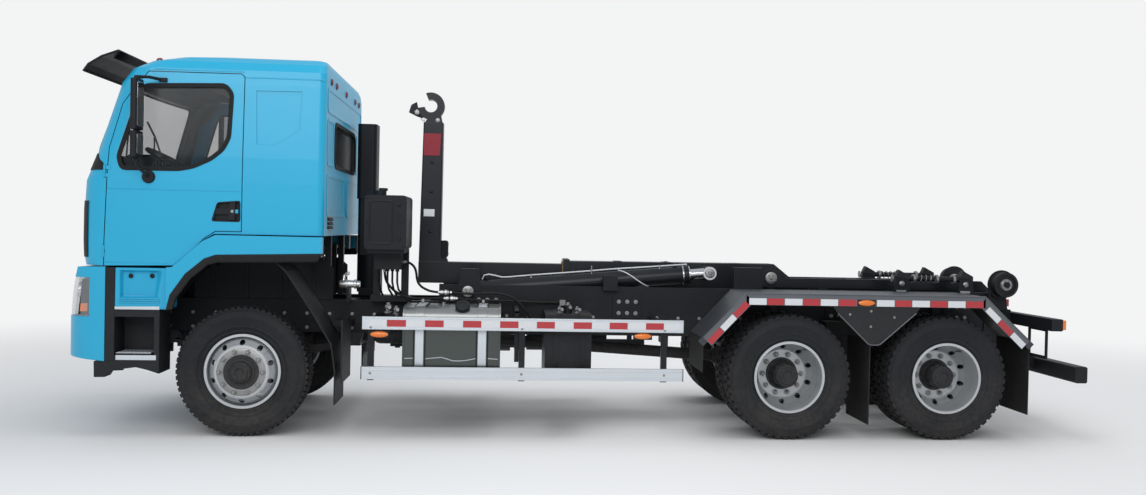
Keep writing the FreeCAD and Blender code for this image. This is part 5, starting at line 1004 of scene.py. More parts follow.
single("oil_level_glass", GLASS, "chassis", "glass",
    (plate, softened([(1.19, 1.62), (1.214, 1.62), (1.214, 1.86), (1.19, 1.86)], 0.01), -1.086, -1.0795))
single("oil_tank_pressings", CHASSIS_BLACK, "chassis", "chassis_paint",
    (hoop, softened([(0.968, 1.56), (1.15, 1.56), (1.15, 1.905), (0.968, 1.905)], 0.03), 0.007, 0.007,
        lambda x, z, lift: (x, -1.08 - lift, z), 0.006),
    *[(turned, [(0.0, 0.0), (0.016, 0.0), (0.016, 0.01), (0.0, 0.012)], (1.202, -1.08, z), (0, -1, 0),
        6) for z in (1.6, 1.88)])

finished(bolted([(x, -1.08, z) for x in (0.945, 1.243) for z in (1.54, 1.73, 1.925)], (0.0, -1.0, 0.0),
    CHASSIS_BLACK, 0.008, 0.005), "oil_tank_bolts", CHASSIS_BLACK, "chassis", "cast_iron")

VALVE = [(0.0, 0.0), (0.034, 0.0), (0.034, 0.012), (0.022, 0.016), (0.022, 0.04), (0.03, 0.044),
    (0.03, 0.066), (0.016, 0.07), (0.016, 0.086), (0.0, 0.088)]
single("air_fittings", ZINC, "chassis", "cast_iron",
    *[form for x, y, z, scale in ((2.591, -0.965, 1.01, 1.0), (2.52, -1.01, 1.008, 0.7),
        (2.665, -1.01, 1.008, 0.7), (1.12, -0.98, 0.99, 1.0), (1.19, -1.04, 0.985, 0.8)) for form
        in ((turned, [(r * scale, along * scale) for r, along in VALVE], (x, y, z), (0, 0, 1), 8),
        (turned, [(0.0, 0.0), (0.01, 0.0), (0.01, 0.045), (0.015, 0.047), (0.015, 0.06), (0.0, 0.06)],
        (x, y - 0.02, z + 0.04 * scale), (0.3, -1, 0.2), 8))])
single("reservoir_straps", CHASSIS_BLACK, "chassis", "chassis_paint",
    *[(band, x, x + 0.04, band_outline(-1.1205, -0.5195, 0.4795, 1.0105, 0.1), 0.004) for x in (2.47, 2.69)])
single("small_air_tank", CHASSIS_BLACK, "chassis", "chassis_paint",
    (turned, [(0.0, 0.0), (0.06, 0.0), (0.082, 0.012), (0.09, 0.04), (0.09, 0.245), (0.082, 0.273),
        (0.06, 0.285), (0.0, 0.285)], (1.02, -0.985, 0.83), (1, 0, 0), 32),
    (block, 1.1, 1.17, -0.985, -0.43, 0.895, 0.92),
    (block, 1.155, 1.175, -1.07, -0.9, 0.745, 0.925), rounding=0.002)
paired("guard_stays", CHASSIS_BLACK, "chassis", "chassis_paint",
    (block, 2.15, 2.185, -1.17, -1.15, 0.62, 1.035),
    (block, 2.15, 2.185, -1.17, -0.43, 1.015, 1.035), rounding=0.003)


# Side guards: two drawn aluminium rails on black posts, with red and white reflecting tape on the upper
# rail and an amber lamp below each of its ends. The tape is stuck on; each lamp is screwed to a bracket.
def place_parts(tree):
    """The X, Y and Z of the piece's own coordinates."""
    return parts_of(tree, own_place(tree))


def inboard_of(limit):
    """A mask of what lies nearer to the truck's middle than the limit."""
    return lambda tree: smooth_step(tree, maths(tree, "ABSOLUTE", place_parts(tree)["Y"]), limit + 0.0002,
        limit - 0.0002)


GUARD_FINISH = coated("guard_rails", (0.6, 0.64, 0.68), roughness=0.28, metallic=0.55, shade=0.05,
    grain=(300.0, 0.02), drawn=(0.12, 1.0, 8.0), dust=0.1, reach=1.2, patch=((0.006, 0.0075, 0.011),
    inboard_of(1.2125)))
refinish(GUARD_FINISH, "side_guards")


def tape_finish(name, colour):
    """Reflecting sheet: a honeycomb of small cells under a glossy film."""
    material, tree, skin = new_material(name)
    cells = new_node(tree, "ShaderNodeTexVoronoi", {"Scale": 260.0, "Vector": own_place(tree)},
        feature="DISTANCE_TO_EDGE")
    share = smooth_step(tree, cells.outputs["Distance"], 0.0, 0.1)
    dusted(tree, skin, mixed(tree, share, shaded(colour, 0.72), shaded(colour)), 0.22, 0.14, 1.3)
    feed(tree, skin, {"Coat Weight": 0.4})
    return material


RED_TAPE = tape_finish("red_tape", (0.42, 0.012, 0.022))
WHITE_TAPE = tape_finish("white_tape", (0.66, 0.68, 0.71))
GUARD_TAPES = [(1.136, 1.286), (1.436, 1.583), (1.737, 1.882), (2.032, 2.179), (2.327, 2.472),
    (2.624, 2.772), (2.917, 3.064), (3.214, 3.361)]
TAPE_FACE = 1.2404
red = bmesh.new()
white = bmesh.new()
for index, (x0, x1) in enumerate(GUARD_TAPES):
    block(red, x0, x1, TAPE_FACE - 0.002, TAPE_FACE + 0.0006, 0.902, 0.956)
    nearer = GUARD_TAPES[index - 1][1] if index else x0 - 0.15
    block(white, nearer + 0.004, x0 - 0.004, TAPE_FACE - 0.002, TAPE_FACE + 0.0006, 0.902, 0.956)
block(white, 3.365, 3.505, TAPE_FACE - 0.002, TAPE_FACE + 0.0006, 0.902, 0.956)
finished(mirrored_too(red), "guard_tape_red", RED_TAPE, "chassis", "lamp")
finished(mirrored_too(white), "guard_tape_white", WHITE_TAPE, "chassis", "aluminium")
paired("guard_rail_beads", RAIL_ALUMINIUM, "chassis", "aluminium",
    *[(block, 0.943, 3.524, 1.2385, 1.2418, z - 0.004, z + 0.004) for z in (0.505, 0.556, 0.886, 0.972)],
    rounding=0.0018)
paired("guard_end_caps", BLACK_PLASTIC, "chassis", "black_plastic",
    *[(block, x0, x1, 1.209, 1.243, z0, z1) for x0, x1 in ((0.936, 0.943), (3.524, 3.531)) for z0, z1
        in ((0.48, 0.581), (0.877, 0.981))], rounding=0.002)
single("guard_screws", ZINC, "chassis", "cast_iron",
    (bolt_both_sides, [(x, 1.24, z) for z in (0.53, 0.893) for x in (1.01, 2.21, 3.37)], 0.008, 0.004))

MARKER = [(0.0, 0.0), (0.024, 0.0), (0.024, 0.006), (0.018, 0.014), (0.008, 0.018), (0.0, 0.019)]


def oval_lamp(shape, x, y, z, way):
    """A lens nearly three times as long as high, facing one side."""
    first = len(shape.verts)
    turned(shape, MARKER, (x, y, z), (0, way, 0), 24)
    shape.verts.ensure_lookup_table()
    for vert in shape.verts[first:]:
        vert.co.x = x + (vert.co.x - x) * 2.9


paired("side_marker_lamps", AMBER_LENS, "chassis", "lamp",
    *[(oval_lamp, x, 1.222, z, 1) for x, z in ((1.076, 0.838), (3.191, 0.847))],
    (oval_lamp, 5.054, 1.2515, 1.148, 1))
paired("marker_lamp_plates", BLACK_PLASTIC, "chassis", "black_plastic",
    *[form for x, z in ((1.076, 0.838), (3.191, 0.847)) for form in ((block, x - 0.078, x + 0.078, 1.214,
        1.222, z - 0.03, z + 0.03), (block, x - 0.02, x + 0.02, 1.212, 1.22, z + 0.02, 0.885))],
    (block, 5.054 - 0.078, 5.054 + 0.078, 1.249, 1.2522, 1.12, 1.176), rounding=0.002)


# Rear mudguards: dark pressed sheet whose upward faces and outer edge are painted lighter as sheen, edged
# with red and white tape; a black web between the wheels with a rolled edge, and ribbed rubber flaps.
def painted_sheen_upside(tree):
    """A mask of what faces up, and of the outermost edge: there the lighter colour is painted sheen."""
    outer = smooth_step(tree, maths(tree, "ABSOLUTE", place_parts(tree)["Y"]), 1.2492, 1.2496)
    return maths(tree, "MAXIMUM", smooth_step(tree, facing_up(tree), 0.55, 0.75), outer, clamp=True)


# The sheet is lighter grey where it faces up and at its outer edge: painted sheen.
MUDGUARD_FINISH = coated("mudguard_sheet", (0.0075, 0.009, 0.012), roughness=0.34, edge=0.003,
    grain=(300.0, 0.06), dust=0.06, coat=0.1, gleam=0.3, patch=((0.032, 0.038, 0.046), painted_sheen_upside))
# The pale grey of the band above the tape and of the rolled edges is painted highlight on black sheet.
EDGE_HIGHLIGHT_GREY = coated("mudguard_edge_highlight", (0.1, 0.11, 0.125), roughness=0.34, metallic=0.3, grain=(300.0, 0.03),
    dust=0.12)
refinish(MUDGUARD_FINISH, "rear_mudguards")
refinish(RUBBER, "rear_flaps")
TOP_EDGES = [4.06, 4.211, 4.359, 4.513, 4.662, 4.814, 4.97]
REAR_TOP_EDGES = [5.141, 5.297, 5.444, 5.601, 5.755, 5.911, 6.069]
STRIP_OUT = 1.2505


def slanted(shape, start, end, s0, s1, inset0, inset1, side, y0, y1):
    """A strip beside a slanting edge: from s0 to s1 along it, set in on the given side."""
    run = (Vector(end) - Vector(start)).normalized()
    in_way = Vector((run.y, -run.x)) * side
    corners = [Vector(start) + run * s + in_way * o for s, o in ((s0, inset0), (s1, inset0), (s1, inset1),
        (s0, inset1))]
    plate(shape, [tuple(c) for c in corners], y0, y1)


# A pale grey band behind and above the tapes: painted highlight where the sheet's top catches the light.
paired("tape_band_highlight", EDGE_HIGHLIGHT_GREY, "chassis", "mudguard",
    (block, 4.04, 6.085, STRIP_OUT - 0.001, STRIP_OUT + 0.0006, 1.118, 1.2055),
    (slanted, (4.04, 1.206), (3.69, 0.836), 0.004, 0.505, 0.001, 0.088, -1, STRIP_OUT - 0.001,
        STRIP_OUT + 0.0006),
    (slanted, (6.085, 1.206), (6.475, 0.836), 0.004, 0.533, 0.001, 0.088, 1, STRIP_OUT - 0.001,
        STRIP_OUT + 0.0006))
reds = bmesh.new()
whites = bmesh.new()
for edges in (TOP_EDGES, REAR_TOP_EDGES):
    for index, (x0, x1) in enumerate(zip(edges, edges[1:])):
        into = reds if index % 2 else whites
        block(into, x0 + 0.003, x1 - 0.003, STRIP_OUT, STRIP_OUT + 0.0014, 1.12, 1.174)
for start, end, side, pattern, s0 in (((4.04, 1.206), (3.69, 0.836), -1, (reds, whites, reds), 0.045),
        ((6.085, 1.206), (6.475, 0.836), 1, (whites, reds, whites), 0.075)):
    for index, into in enumerate(pattern):
        slanted(into, start, end, s0 + 0.152 * index + 0.003, s0 + 0.152 * (index + 1) - 0.003, 0.031, 0.084,
            side, STRIP_OUT, STRIP_OUT + 0.0014)
finished(mirrored_too(reds), "mudguard_tape_red", RED_TAPE, "chassis", "lamp")
finished(mirrored_too(whites), "mudguard_tape_white", WHITE_TAPE, "chassis", "aluminium")
# The rolled edges are pale grey: painted highlight.
paired("mudguard_rolled_edge", EDGE_HIGHLIGHT_GREY, "chassis", "mudguard",
    (pipe, [(4.816, 1.2415, 1.058), (5.08, 1.2415, 0.806), (5.105, 1.2415, 0.798), (5.16, 1.2415, 0.798),
        (5.185, 1.2415, 0.806), (5.487, 1.2415, 1.067)], 0.006, 8),
    (pipe, [(4.04, 1.246, 1.212), (6.085, 1.246, 1.212)], 0.006, 8),
    (pipe, [(4.04, 1.246, 1.212), (3.69, 1.246, 0.842)], 0.006, 8),
    (pipe, [(6.085, 1.246, 1.212), (6.475, 1.246, 0.842)], 0.006, 8))
single("web_bolts", ZINC, "chassis", "cast_iron",
    (bolt_both_sides, [(x, 1.24, z) for x, z in ((4.92, 1.05), (5.1, 0.95), (5.3, 1.03), (5.1, 1.08))],
        0.008, 0.005))
for name, x, z0, z1, y0, y1 in (("middle_flap_ribs", 5.1045, 0.15, 0.8, 0.665, 1.215),
        ("rear_flap_ribs", 6.4825, 0.24, 0.82, 0.655, 1.23)):
    paired(name, RUBBER, "chassis", "rubber",
        (in_row, RUBBER, 14, (0.0, (y1 - y0 - 0.012) / 13.0, 0.0),
            (crosswise, [(y0, z0), (y0 + 0.012, z0), (y0 + 0.012, z1), (y0, z1)], x - 0.001, x + 0.003)))


# Rear lamps: a bar across with a three-part lamp at each end, amber outside, red, and clear inside.
# Each lamp has a black rim, and four pairs of bolts hold the bar.
refinish(RED_LENS, "tail_lamps")
paired("tail_lamp_rims", BLACK_PLASTIC, "chassis", "black_plastic",
    (crosswise, [(0.768, 0.93), (1.196, 0.93), (1.196, 1.028), (0.768, 1.028)], 6.788, 6.802), rounding=0.004)
paired("rear_turn_lamps", AMBER_LENS, "chassis", "lamp",
    (block, 6.7895, 6.8325, 1.085, 1.1925, 0.938, 1.02), rounding=0.006)
paired("reversing_lamps", HEADLAMP_GLASS, "chassis", "head_lamp",
    (block, 6.7895, 6.8315, 0.778, 0.87, 0.938, 1.02), rounding=0.006)
finished(bolted([(6.79, y, z) for y in (-0.55, -0.4, 0.4, 0.55) for z in (0.955, 1.005)], (1.0, 0.0, 0.0),
    ZINC), "lamp_bar_bolts", ZINC, "chassis", "cast_iron")


# Wheels: steel rims in silver paint round dark cast hubs, held by ten nuts on studs, with radial tyres.
# A tyre's tread is five rows of moulded blocks; raised rings run round its sidewall.
def hub_effect():
    """A mask of what lies within a distance of a wheel's axle."""
    group, given, out = effect("near_the_axle", [("Axle", "Vector", None), ("Reach", "Float", 0.13)],
        [("Inside", "Float")])
    flat = vector_maths(group, "MULTIPLY", vector_maths(group, "SUBTRACT", own_place(group),
        given["Axle"])[0], (1.0, 0.0, 1.0))[0]
    away = new_node(group, "ShaderNodeVectorMath", {0: flat}, operation="LENGTH").outputs["Value"]
    beyond = product(group, maths(group, "SUBTRACT", away, given["Reach"]), 600.0, clamp=True)
    feed(group, out, {"Inside": maths(group, "SUBTRACT", 1.0, beyond)})
    return group


NEAR_THE_AXLE = hub_effect()
AXLE_HEIGHT = 0.52
TYRE_RADIUS = 0.52
CAST_IRON = coated("cast_iron", (0.01, 0.0115, 0.015), (0.06, 0.06, 0.06), roughness=0.5, edge=0.003,
    grain=(260.0, 0.25), dust=0.12, gleam=0.3)
TYRE_RUBBER = coated("tyre_rubber", (0.008, 0.0095, 0.013), (0.022, 0.022, 0.024), roughness=0.62,
    edge=0.003, grain=(240.0, 0.22), shade=0.22, dust=0.11, reach=1.1, gleam=0.22)
refinish(CAST_IRON, "front_axle", "rear_axles", "leaf_springs", "knuckle_right", "knuckle_left")


def rim_finish(name, axle_x, reach):
    def hub(tree):
        return placed(tree, NEAR_THE_AXLE, Axle=(FRONT_AXLE + axle_x, 0.0, AXLE_HEIGHT), Reach=reach)[0]
    return coated(name, (0.5, 0.52, 0.54), (0.62, 0.62, 0.62), roughness=0.3, metallic=0.55, edge=0.003,
        wear=0.3, grain=(500.0, 0.03), shade=0.07, dust=0.16, reach=1.2, patch=((0.018, 0.02, 0.022), hub))


def tyre_shape(shape, x, middle, width):
    """The carcass: tread base, shoulders, bulging sidewalls with their raised rings, and beads."""
    half = width / 2.0
    side = [(0.2868, 0.102), (0.3, 0.11), (0.318, 0.118), (0.321, 0.122), (0.325, 0.122), (0.33, 0.12),
        (0.352, half - 0.012), (0.355, half - 0.007), (0.361, half - 0.007), (0.364, half - 0.009),
        (0.395, half - 0.001), (0.425, half), (0.428, half + 0.001), (0.434, half + 0.001),
        (0.437, half - 0.001), (0.462, half - 0.006), (0.48, half - 0.012), (0.482, half - 0.009),
        (0.487, half - 0.01), (0.49, half - 0.017), (0.5, half - 0.022), (0.5055, half - 0.032)]
    profile = [(r, -along) for r, along in side] + [(r, along) for r, along in reversed(side)]
    turned(shape, profile, (x, middle, AXLE_HEIGHT), (0, 1, 0), 72)


def tread_pitch(x, middle, width, pitch, wide_blocks):
    """One pitch of the tread: five blocks across, their ends skewed like those of a moulded tyre."""
    half = width / 2.0
    shape = bmesh.new()
    edges = (-1.0, -0.58, -0.2, 0.2, 0.58, 1.0)
    reach = half - 0.02
    gap = 0.0045
    for index, (a, b) in enumerate(zip(edges, edges[1:])):
        shoulder = index in (0, 4)
        y0 = a * reach + (0.0 if index == 0 else gap)
        y1 = b * reach - (0.0 if index == 4 else gap)
        offset = 0.0 if shoulder else (0.5 if index % 2 else 0.25)
        length = (0.62 if shoulder else wide_blocks) * pitch
        skew = 0.0 if shoulder else (0.12 if index % 2 else -0.12) * pitch
        low = []
        high = []
        for y, way in ((y0, -1.0), (y1, 1.0)):
            outermost = shoulder and abs(y) > 0.9 * reach
            for end in (0.0, 1.0):
                angle = offset * pitch + end * length + way * skew
                for rows, radius, wide in ((low, 0.496 if outermost else 0.503, 1.012),
                        (high, TYRE_RADIUS - (0.006 if outermost else 0.0003), 1.0)):
                    rows.append(shape.verts.new((x + radius * math.sin(angle),
                        middle + y * (wide if outermost else 1.0), AXLE_HEIGHT + radius * math.cos(angle))))
        ring = (0, 1, 3, 2)
        shape.faces.new([high[i] for i in ring])
        shape.faces.new([low[i] for i in reversed(ring)])
        for i, j in zip(ring, ring[1:] + ring[:1]):
            shape.faces.new((low[i], low[j], high[j], high[i]))
    return shape


def tyre_piece(name, x, middles, width, count, wide_blocks, body, node):
    tyre = bmesh.new()
    for middle in middles:
        tyre_shape(tyre, x, middle, width)
        pitch = 2.0 * math.pi / count
        blocks = grown(tread_pitch(x, middle, width, pitch, wide_blocks), REPEATED, TYRE_RUBBER, Count=count,
            Turn=pitch, Centre=(x, middle, AXLE_HEIGHT))
        added(tyre, blocks)
    finished(tyre, name, TYRE_RUBBER, body, "tyre", stands_for=(node,))


NUT = [(0.0, 0.0), (0.024, 0.0), (0.024, 0.004), (0.0195, 0.005), (0.0195, 0.026), (0.015, 0.03), (0.0, 0.03)]
STUD = [(0.0, 0.028), (0.01, 0.028), (0.01, 0.044), (0.008, 0.046), (0.0, 0.046)]


def around(seed, x, count, finish):
    """The seed piece repeated round the wheel that stands at x."""
    return grown(seed, REPEATED, finish, Count=count, Turn=2.0 * math.pi / count,
        Centre=(x, 0.0, AXLE_HEIGHT))


def wheel_nuts(name, x, y, way, body):
    seed = bmesh.new()
    turned(seed, NUT, (x + 0.1675, y, AXLE_HEIGHT), (0, way, 0), 6)
    turned(seed, STUD, (x + 0.1675, y, AXLE_HEIGHT), (0, way, 0), 10)
    finished(around(seed, x, 10, ZINC), name, ZINC, body, "cast_iron")


def hub_cover(name, x, y, way, profile, bolt_circle, bolts, body):
    cover = bmesh.new()
    turned(cover, profile, (x, y, AXLE_HEIGHT), (0, way, 0), 48)
    seed = bmesh.new()
    turned(seed, [(0.0, 0.0), (0.01, 0.0), (0.01, 0.008), (0.0, 0.009)], (x + bolt_circle[0],
        y + way * bolt_circle[1], AXLE_HEIGHT), (0, way, 0), 6)
    added(cover, around(seed, x, bolts, CAST_IRON))
    finished(cover, name, CAST_IRON, body, "cast_iron", smooth=28.0)


FRONT_COVER = [(0.0, 0.053), (0.034, 0.053), (0.04, 0.062), (0.058, 0.062), (0.064, 0.053), (0.064, 0.0525),
    (0.0795, 0.041), (0.093, 0.012), (0.106, 0.0085), (0.1065, 0.0005), (0.0, 0.0005)]
REAR_COVER = [(0.0, 0.001), (0.04, 0.001), (0.044, 0.01), (0.07, 0.01), (0.076, 0.002), (0.0885, 0.001),
    (0.098, -0.014), (0.098, -0.03), (0.0, -0.03)]
for side, way in (("right", 1), ("left", -1)):
    body = "front_wheel_" + side
    refinish(rim_finish("front_rim_" + side, 0.0, 0.139), "front_rim_" + side)
    tyre_piece("tyre_front_" + side, 0.0, (way * 1.005,), 0.29, 66, 0.8, body, "front_tyre_" + side)
    wheel_nuts("nuts_front_" + side, 0.0, way * 1.1705, way, body)
    hub_cover("hub_cover_front_" + side, 0.0, way * 1.17, way, FRONT_COVER, (0.049, 0.061), 6, body)
    single("nut_ring_front_" + side, ZINC, body, "rim_paint",
        (turned, [(0.143, 0.0), (0.19, 0.0), (0.19, 0.003), (0.186, 0.005), (0.146, 0.005), (0.143, 0.003)],
            (0.0, way * 1.17, AXLE_HEIGHT), (0, way, 0), 48),
        (pipe, [(0.19, way * 1.118, AXLE_HEIGHT + 0.166), (0.2, way * 1.15, AXLE_HEIGHT + 0.175),
            (0.198, way * 1.178, AXLE_HEIGHT + 0.172)], 0.005, 8))
    for number, x in ((1, 4.425), (2, 5.775)):
        body = "rear_wheel_%d_%s" % (number, side)
        rims = "rear_rims_%d_%s" % (number, side)
        refinish(rim_finish(rims + "_paint", x, 0.136), rims)
        tyre_piece("tyres_rear_%d_%s" % (number, side), x, (way * 1.1, way * 0.77), 0.276, 48, 0.66, body,
            "rear_tyres_%d_%s" % (number, side))
        wheel_nuts("nuts_rear_%d_%s" % (number, side), x, way * 0.952, way, body)
        hub_cover("hub_cover_rear_%d_%s" % (number, side), x, way * 1.14, way, REAR_COVER, (0.057, 0.01), 8,
            body)
        single("valve_rear_%d_%s" % (number, side), ZINC, body, "rim_paint",
            (pipe, [(x + 0.15, way * 0.975, AXLE_HEIGHT + 0.2), (x + 0.16, way * 1.06, AXLE_HEIGHT + 0.214),
                (x + 0.162, way * 1.13, AXLE_HEIGHT + 0.216)], 0.006, 8))


# Cab inside: two sprung seats in woven cloth on moulded bases, with belts; a grained dashboard with a
# bright instrument rim; the roof lining is felt.
def cloth_finish(name, colour, thread=420.0):
    """Woven seat cloth: crossing threads, raised, with painted shade in the hollows between them."""
    material, tree, skin = new_material(name)
    parts = place_parts(tree)
    warp = maths(tree, "SINE", product(tree, parts["Y"], thread * 4.0))
    weft = maths(tree, "SINE", product(tree, maths(tree, "ADD", parts["X"], parts["Z"]), thread * 4.0))
    weave = maths(tree, "ADD", product(tree, product(tree, warp, weft), 0.5), 0.5)
    raised = new_node(tree, "ShaderNodeBump", {"Strength": 0.5, "Distance": 0.0015, "Height": weave})
    # Darker where the weave is low: painted shade in its hollows.
    feed(tree, skin, {"Base Color": mixed(tree, weave, shaded(colour, 0.65), shaded(colour)),
        "Normal": raised.outputs[0], "Roughness": 0.88, "Sheen Weight": 0.35})
    return material


def pad(shape, centre, half, lean=0.0, bulge=5.0, cuts=12, channels=0.0):
    """A stuffed form: a rounded cube whose faces crown, leaning back with height, with sewn channels."""
    first = len(shape.verts)
    made_cube = bmesh.ops.create_cube(shape, size=2.0)
    edges = list({edge for vert in made_cube["verts"] for edge in vert.link_edges})
    bmesh.ops.subdivide_edges(shape, edges=edges, cuts=cuts, use_grid_fill=True)
    shape.verts.ensure_lookup_table()
    for vert in shape.verts[first:]:
        p = vert.co.copy()
        reach = (abs(p.x) ** bulge + abs(p.y) ** bulge + abs(p.z) ** bulge) ** (1.0 / bulge)
        p /= reach
        crown = 1.0 + 0.1 * math.cos(p.y * math.pi / 2.0)
        seam = channels * max(0.0, 1.0 - abs(abs(p.y) - 0.52) / 0.07)
        across = channels * max(0.0, 1.0 - abs(p.z if lean else p.x) / 0.06)
        thin = max(seam, across)
        x, y, z = p.x * half[0], p.y * half[1], p.z * half[2]
        if lean:
            x = x * crown * (1.0 - thin) + lean * (z + half[2])
        else:
            z = z * (crown if p.z > 0 else 1.0) * (1.0 - thin)
        vert.co = Vector(centre) + Vector((x, y, z))


SEAT_CLOTH = cloth_finish("seat_cloth", (0.06, 0.063, 0.07))
SEAT_EDGE = cloth_finish("seat_edge_cloth", (0.028, 0.03, 0.034))
LINING = cloth_finish("roof_felt", (0.05, 0.05, 0.05), 700.0)
refinish(BLACK_PLASTIC, "dashboard")
for side, y in (("left", -0.62), ("right", 0.62)):
    cushion = bmesh.new()
    pad(cushion, (-0.295, y, 1.868), (0.262, 0.245, 0.058), channels=0.16)
    seat = finished(cushion, "seat_cushion_" + side, SEAT_CLOTH, "cab", "seat_cloth", stands_for=("seats",),
        smooth=60.0)
    back = bmesh.new()
    pad(back, (-0.055, y, 2.235), (0.062, 0.238, 0.33), lean=0.2, channels=0.14)
    support = finished(back, "seat_back_" + side, SEAT_CLOTH, "cab", "seat_cloth", smooth=60.0)
    head = bmesh.new()
    pad(head, (0.085, y, 2.662), (0.044, 0.128, 0.074), bulge=3.2)
    rest = finished(head, "head_rest_" + side, SEAT_EDGE, "cab", "seat_cloth", smooth=60.0)
    single("seat_base_" + side, BLACK_PLASTIC, "cab", "black_plastic",
        (plate, [(-0.47, 1.64), (-0.08, 1.64), (-0.12, 1.805), (-0.5, 1.805)], y - 0.18, y + 0.18),
        (block, -0.44, -0.1, y - 0.15, y + 0.15, 1.4, 1.645),
        (pipe, [(0.075, y - 0.05, 2.5), (0.088, y - 0.05, 2.61)], 0.007, 8),
        (pipe, [(0.075, y + 0.05, 2.5), (0.088, y + 0.05, 2.61)], 0.007, 8), rounding=0.008)
    belt = bmesh.new()
    slope = 1.0 if y > 0 else -1.0
    outer_y = y + slope * 0.262
    pipe(belt, [(-0.12, outer_y, 1.86), (-0.02, outer_y + slope * 0.01, 2.15),
        (0.06, outer_y + slope * 0.05, 2.5), (0.1, outer_y + slope * 0.1, 2.72)], 0.01, 6)
    finished(belt, "seat_belt_" + side, SEAT_EDGE, "cab", "seat_cloth")
single("roof_lining", LINING, "cab", "seat_cloth",
    (block, -0.62, 0.5, -1.04, 1.04, 2.9, 2.912), rounding=0.004)
single("instrument_rims", ZINC, "cab", "chrome",
    *[(turned, [(0.044, 0.0), (0.052, 0.0), (0.052, 0.006), (0.044, 0.004)], (-0.799, y, 2.165), (1, 0, 0.1),
        28) for y in (-0.71, -0.53)])


# Hook-lift arm: welded steel boxes in gloss black. The hook's inside is rubbed to bare steel, its safety
# latch turns on a zinc bolt, and the mast carries a plain red panel, a blank white plate and a rubber block.
HOOK_AT = (1.376, 0.0, 2.791)


def bare_inside(tree):
    return placed(tree, NEAR_THE_AXLE, Axle=(FRONT_AXLE + HOOK_AT[0], 0.0, HOOK_AT[2]), Reach=0.059)[0]


ARM_BLACK = coated("arm_black", (0.006, 0.0078, 0.012), (0.04, 0.042, 0.05), roughness=0.26, edge=0.004,
    coat=0.1, grain=(420.0, 0.05), dust=0.05, gleam=0.25)
HOOK_FINISH = coated("hook_black", (0.006, 0.0078, 0.012), (0.09, 0.09, 0.09), roughness=0.28, edge=0.005,
    wear=0.8, coat=0.1, grain=(420.0, 0.06), dust=0.05, gleam=0.25, patch=((0.14, 0.14, 0.14), bare_inside))
RED_PAINT = coated("red_panel", (0.24, 0.01, 0.024), (0.08, 0.015, 0.02), roughness=0.36, edge=0.002,
    grain=(500.0, 0.03), shade=0.06, dust=0.03, gleam=0.3)
refinish(ARM_BLACK, "boom", "tipping_frame")
refinish(HOOK_FINISH, "hook_arm")
refinish(CAST_IRON, "hook_latch", "cylinder_pins")
paired("mast_red_panel", RED_PAINT, "jib", "cab_paint",
    (plate, [(1.314, 2.342), (1.466, 2.342), (1.475, 2.54), (1.3195, 2.54)], 0.0882, 0.09), rounding=0.001)
paired("mast_blank_plate", WHITE_PAINT, "jib", "cab_paint",
    (block, 1.332, 1.428, 0.0882, 0.0905, 1.795, 1.86), rounding=0.001)
paired("mast_welds", ARM_BLACK, "jib", "chassis_paint",
    *[(pipe, [(x0, 0.0885, z0), (x1, 0.0885, z1)], 0.004, 6) for x0, z0, x1, z1
        in ((1.306, 1.45, 1.3225, 2.63), (1.482, 1.6, 1.4865, 2.63))],
    *[(turned, [(0.0, 0.0), (0.016, 0.0), (0.016, 0.004), (0.008, 0.01), (0.0, 0.01)], (x, 0.088, z),
        (0, 1, 0), 20) for x, z in ((1.392, 1.66), (1.396, 2.02), (1.4, 2.28))])
paired("mast_gussets", ARM_BLACK, "jib", "chassis_paint",
    (plate, [(1.486, 1.384), (1.572, 1.384), (1.534, 1.394), (1.508, 1.414), (1.492, 1.444), (1.486, 1.48)],
        0.068, 0.088), rounding=0.002)
single("bump_block", RUBBER, "jib", "rubber",
    (plate, softened([(1.49, 1.424), (1.552, 1.432), (1.552, 1.566), (1.538, 1.58), (1.49, 1.58)], 0.012),
        -0.064, 0.064), rounding=0.004)
finished(bolted([(1.5525, y, z) for y in (-0.035, 0.035) for z in (1.46, 1.545)], (1.0, 0.0, 0.0), ZINC,
    0.009, 0.003), "bump_block_bolts", ZINC, "jib", "cast_iron")
single("hook_bolts", ZINC, "jib", "cast_iron",
    *[form for way in (1, -1) for form in ((turned, [(0.0, 0.0), (0.026, 0.0), (0.026, 0.004),
        (0.019, 0.005), (0.019, 0.017), (0.0, 0.019)], (1.255, way * 0.0402, 2.731), (0, way, 0), 6),
        (turned, [(0.0, 0.0), (0.022, 0.0), (0.022, 0.006), (0.012, 0.01), (0.0, 0.01)],
        (1.44, way * 0.0455, 2.662), (0, way, 0), 20))])
single("latch_spring", ZINC, "jib", "cast_iron",
    (pipe, [(1.285 + 0.00225 * i, 0.01 * math.cos(0.625 * i), 2.668 - 0.0005 * i + 0.01
        * math.sin(0.625 * i)) for i in range(40)], 0.0022, 5))

single("boom_welds", ARM_BLACK, "boom", "chassis_paint",
    *[form for way in (1, -1) for form in ((turned, [(0.06, 0.0), (0.07, 0.0), (0.066, 0.007),
        (0.06, 0.009)], (3.907, way * 0.12, 1.335), (0, way, 0), 36), (pipe, [(2.655, way * 0.121, 1.19),
        (2.655, way * 0.121, 1.418)], 0.005, 6), (pipe, [(2.66, way * 0.121, 1.186),
        (4.56, way * 0.121, 1.186)], 0.004, 6), (block, 2.5925, 2.654, way * 0.1262 - 0.004,
        way * 0.1262 + 0.004, 1.23, 1.26))],
    *[(block, x - 0.035, x + 0.035, -0.085, 0.085, 1.4165, 1.4245) for x in (3.1, 3.55, 4.2)], rounding=0.001)
finished(bolted([(x, y, 1.432) for x in (2.612, 2.636) for y in (-0.085, 0.0, 0.085)], (0.0, 0.0, 1.0), ZINC,
    0.009, 0.006), "boom_mouth_bolts", ZINC, "boom", "cast_iron")
pads = bmesh.new()
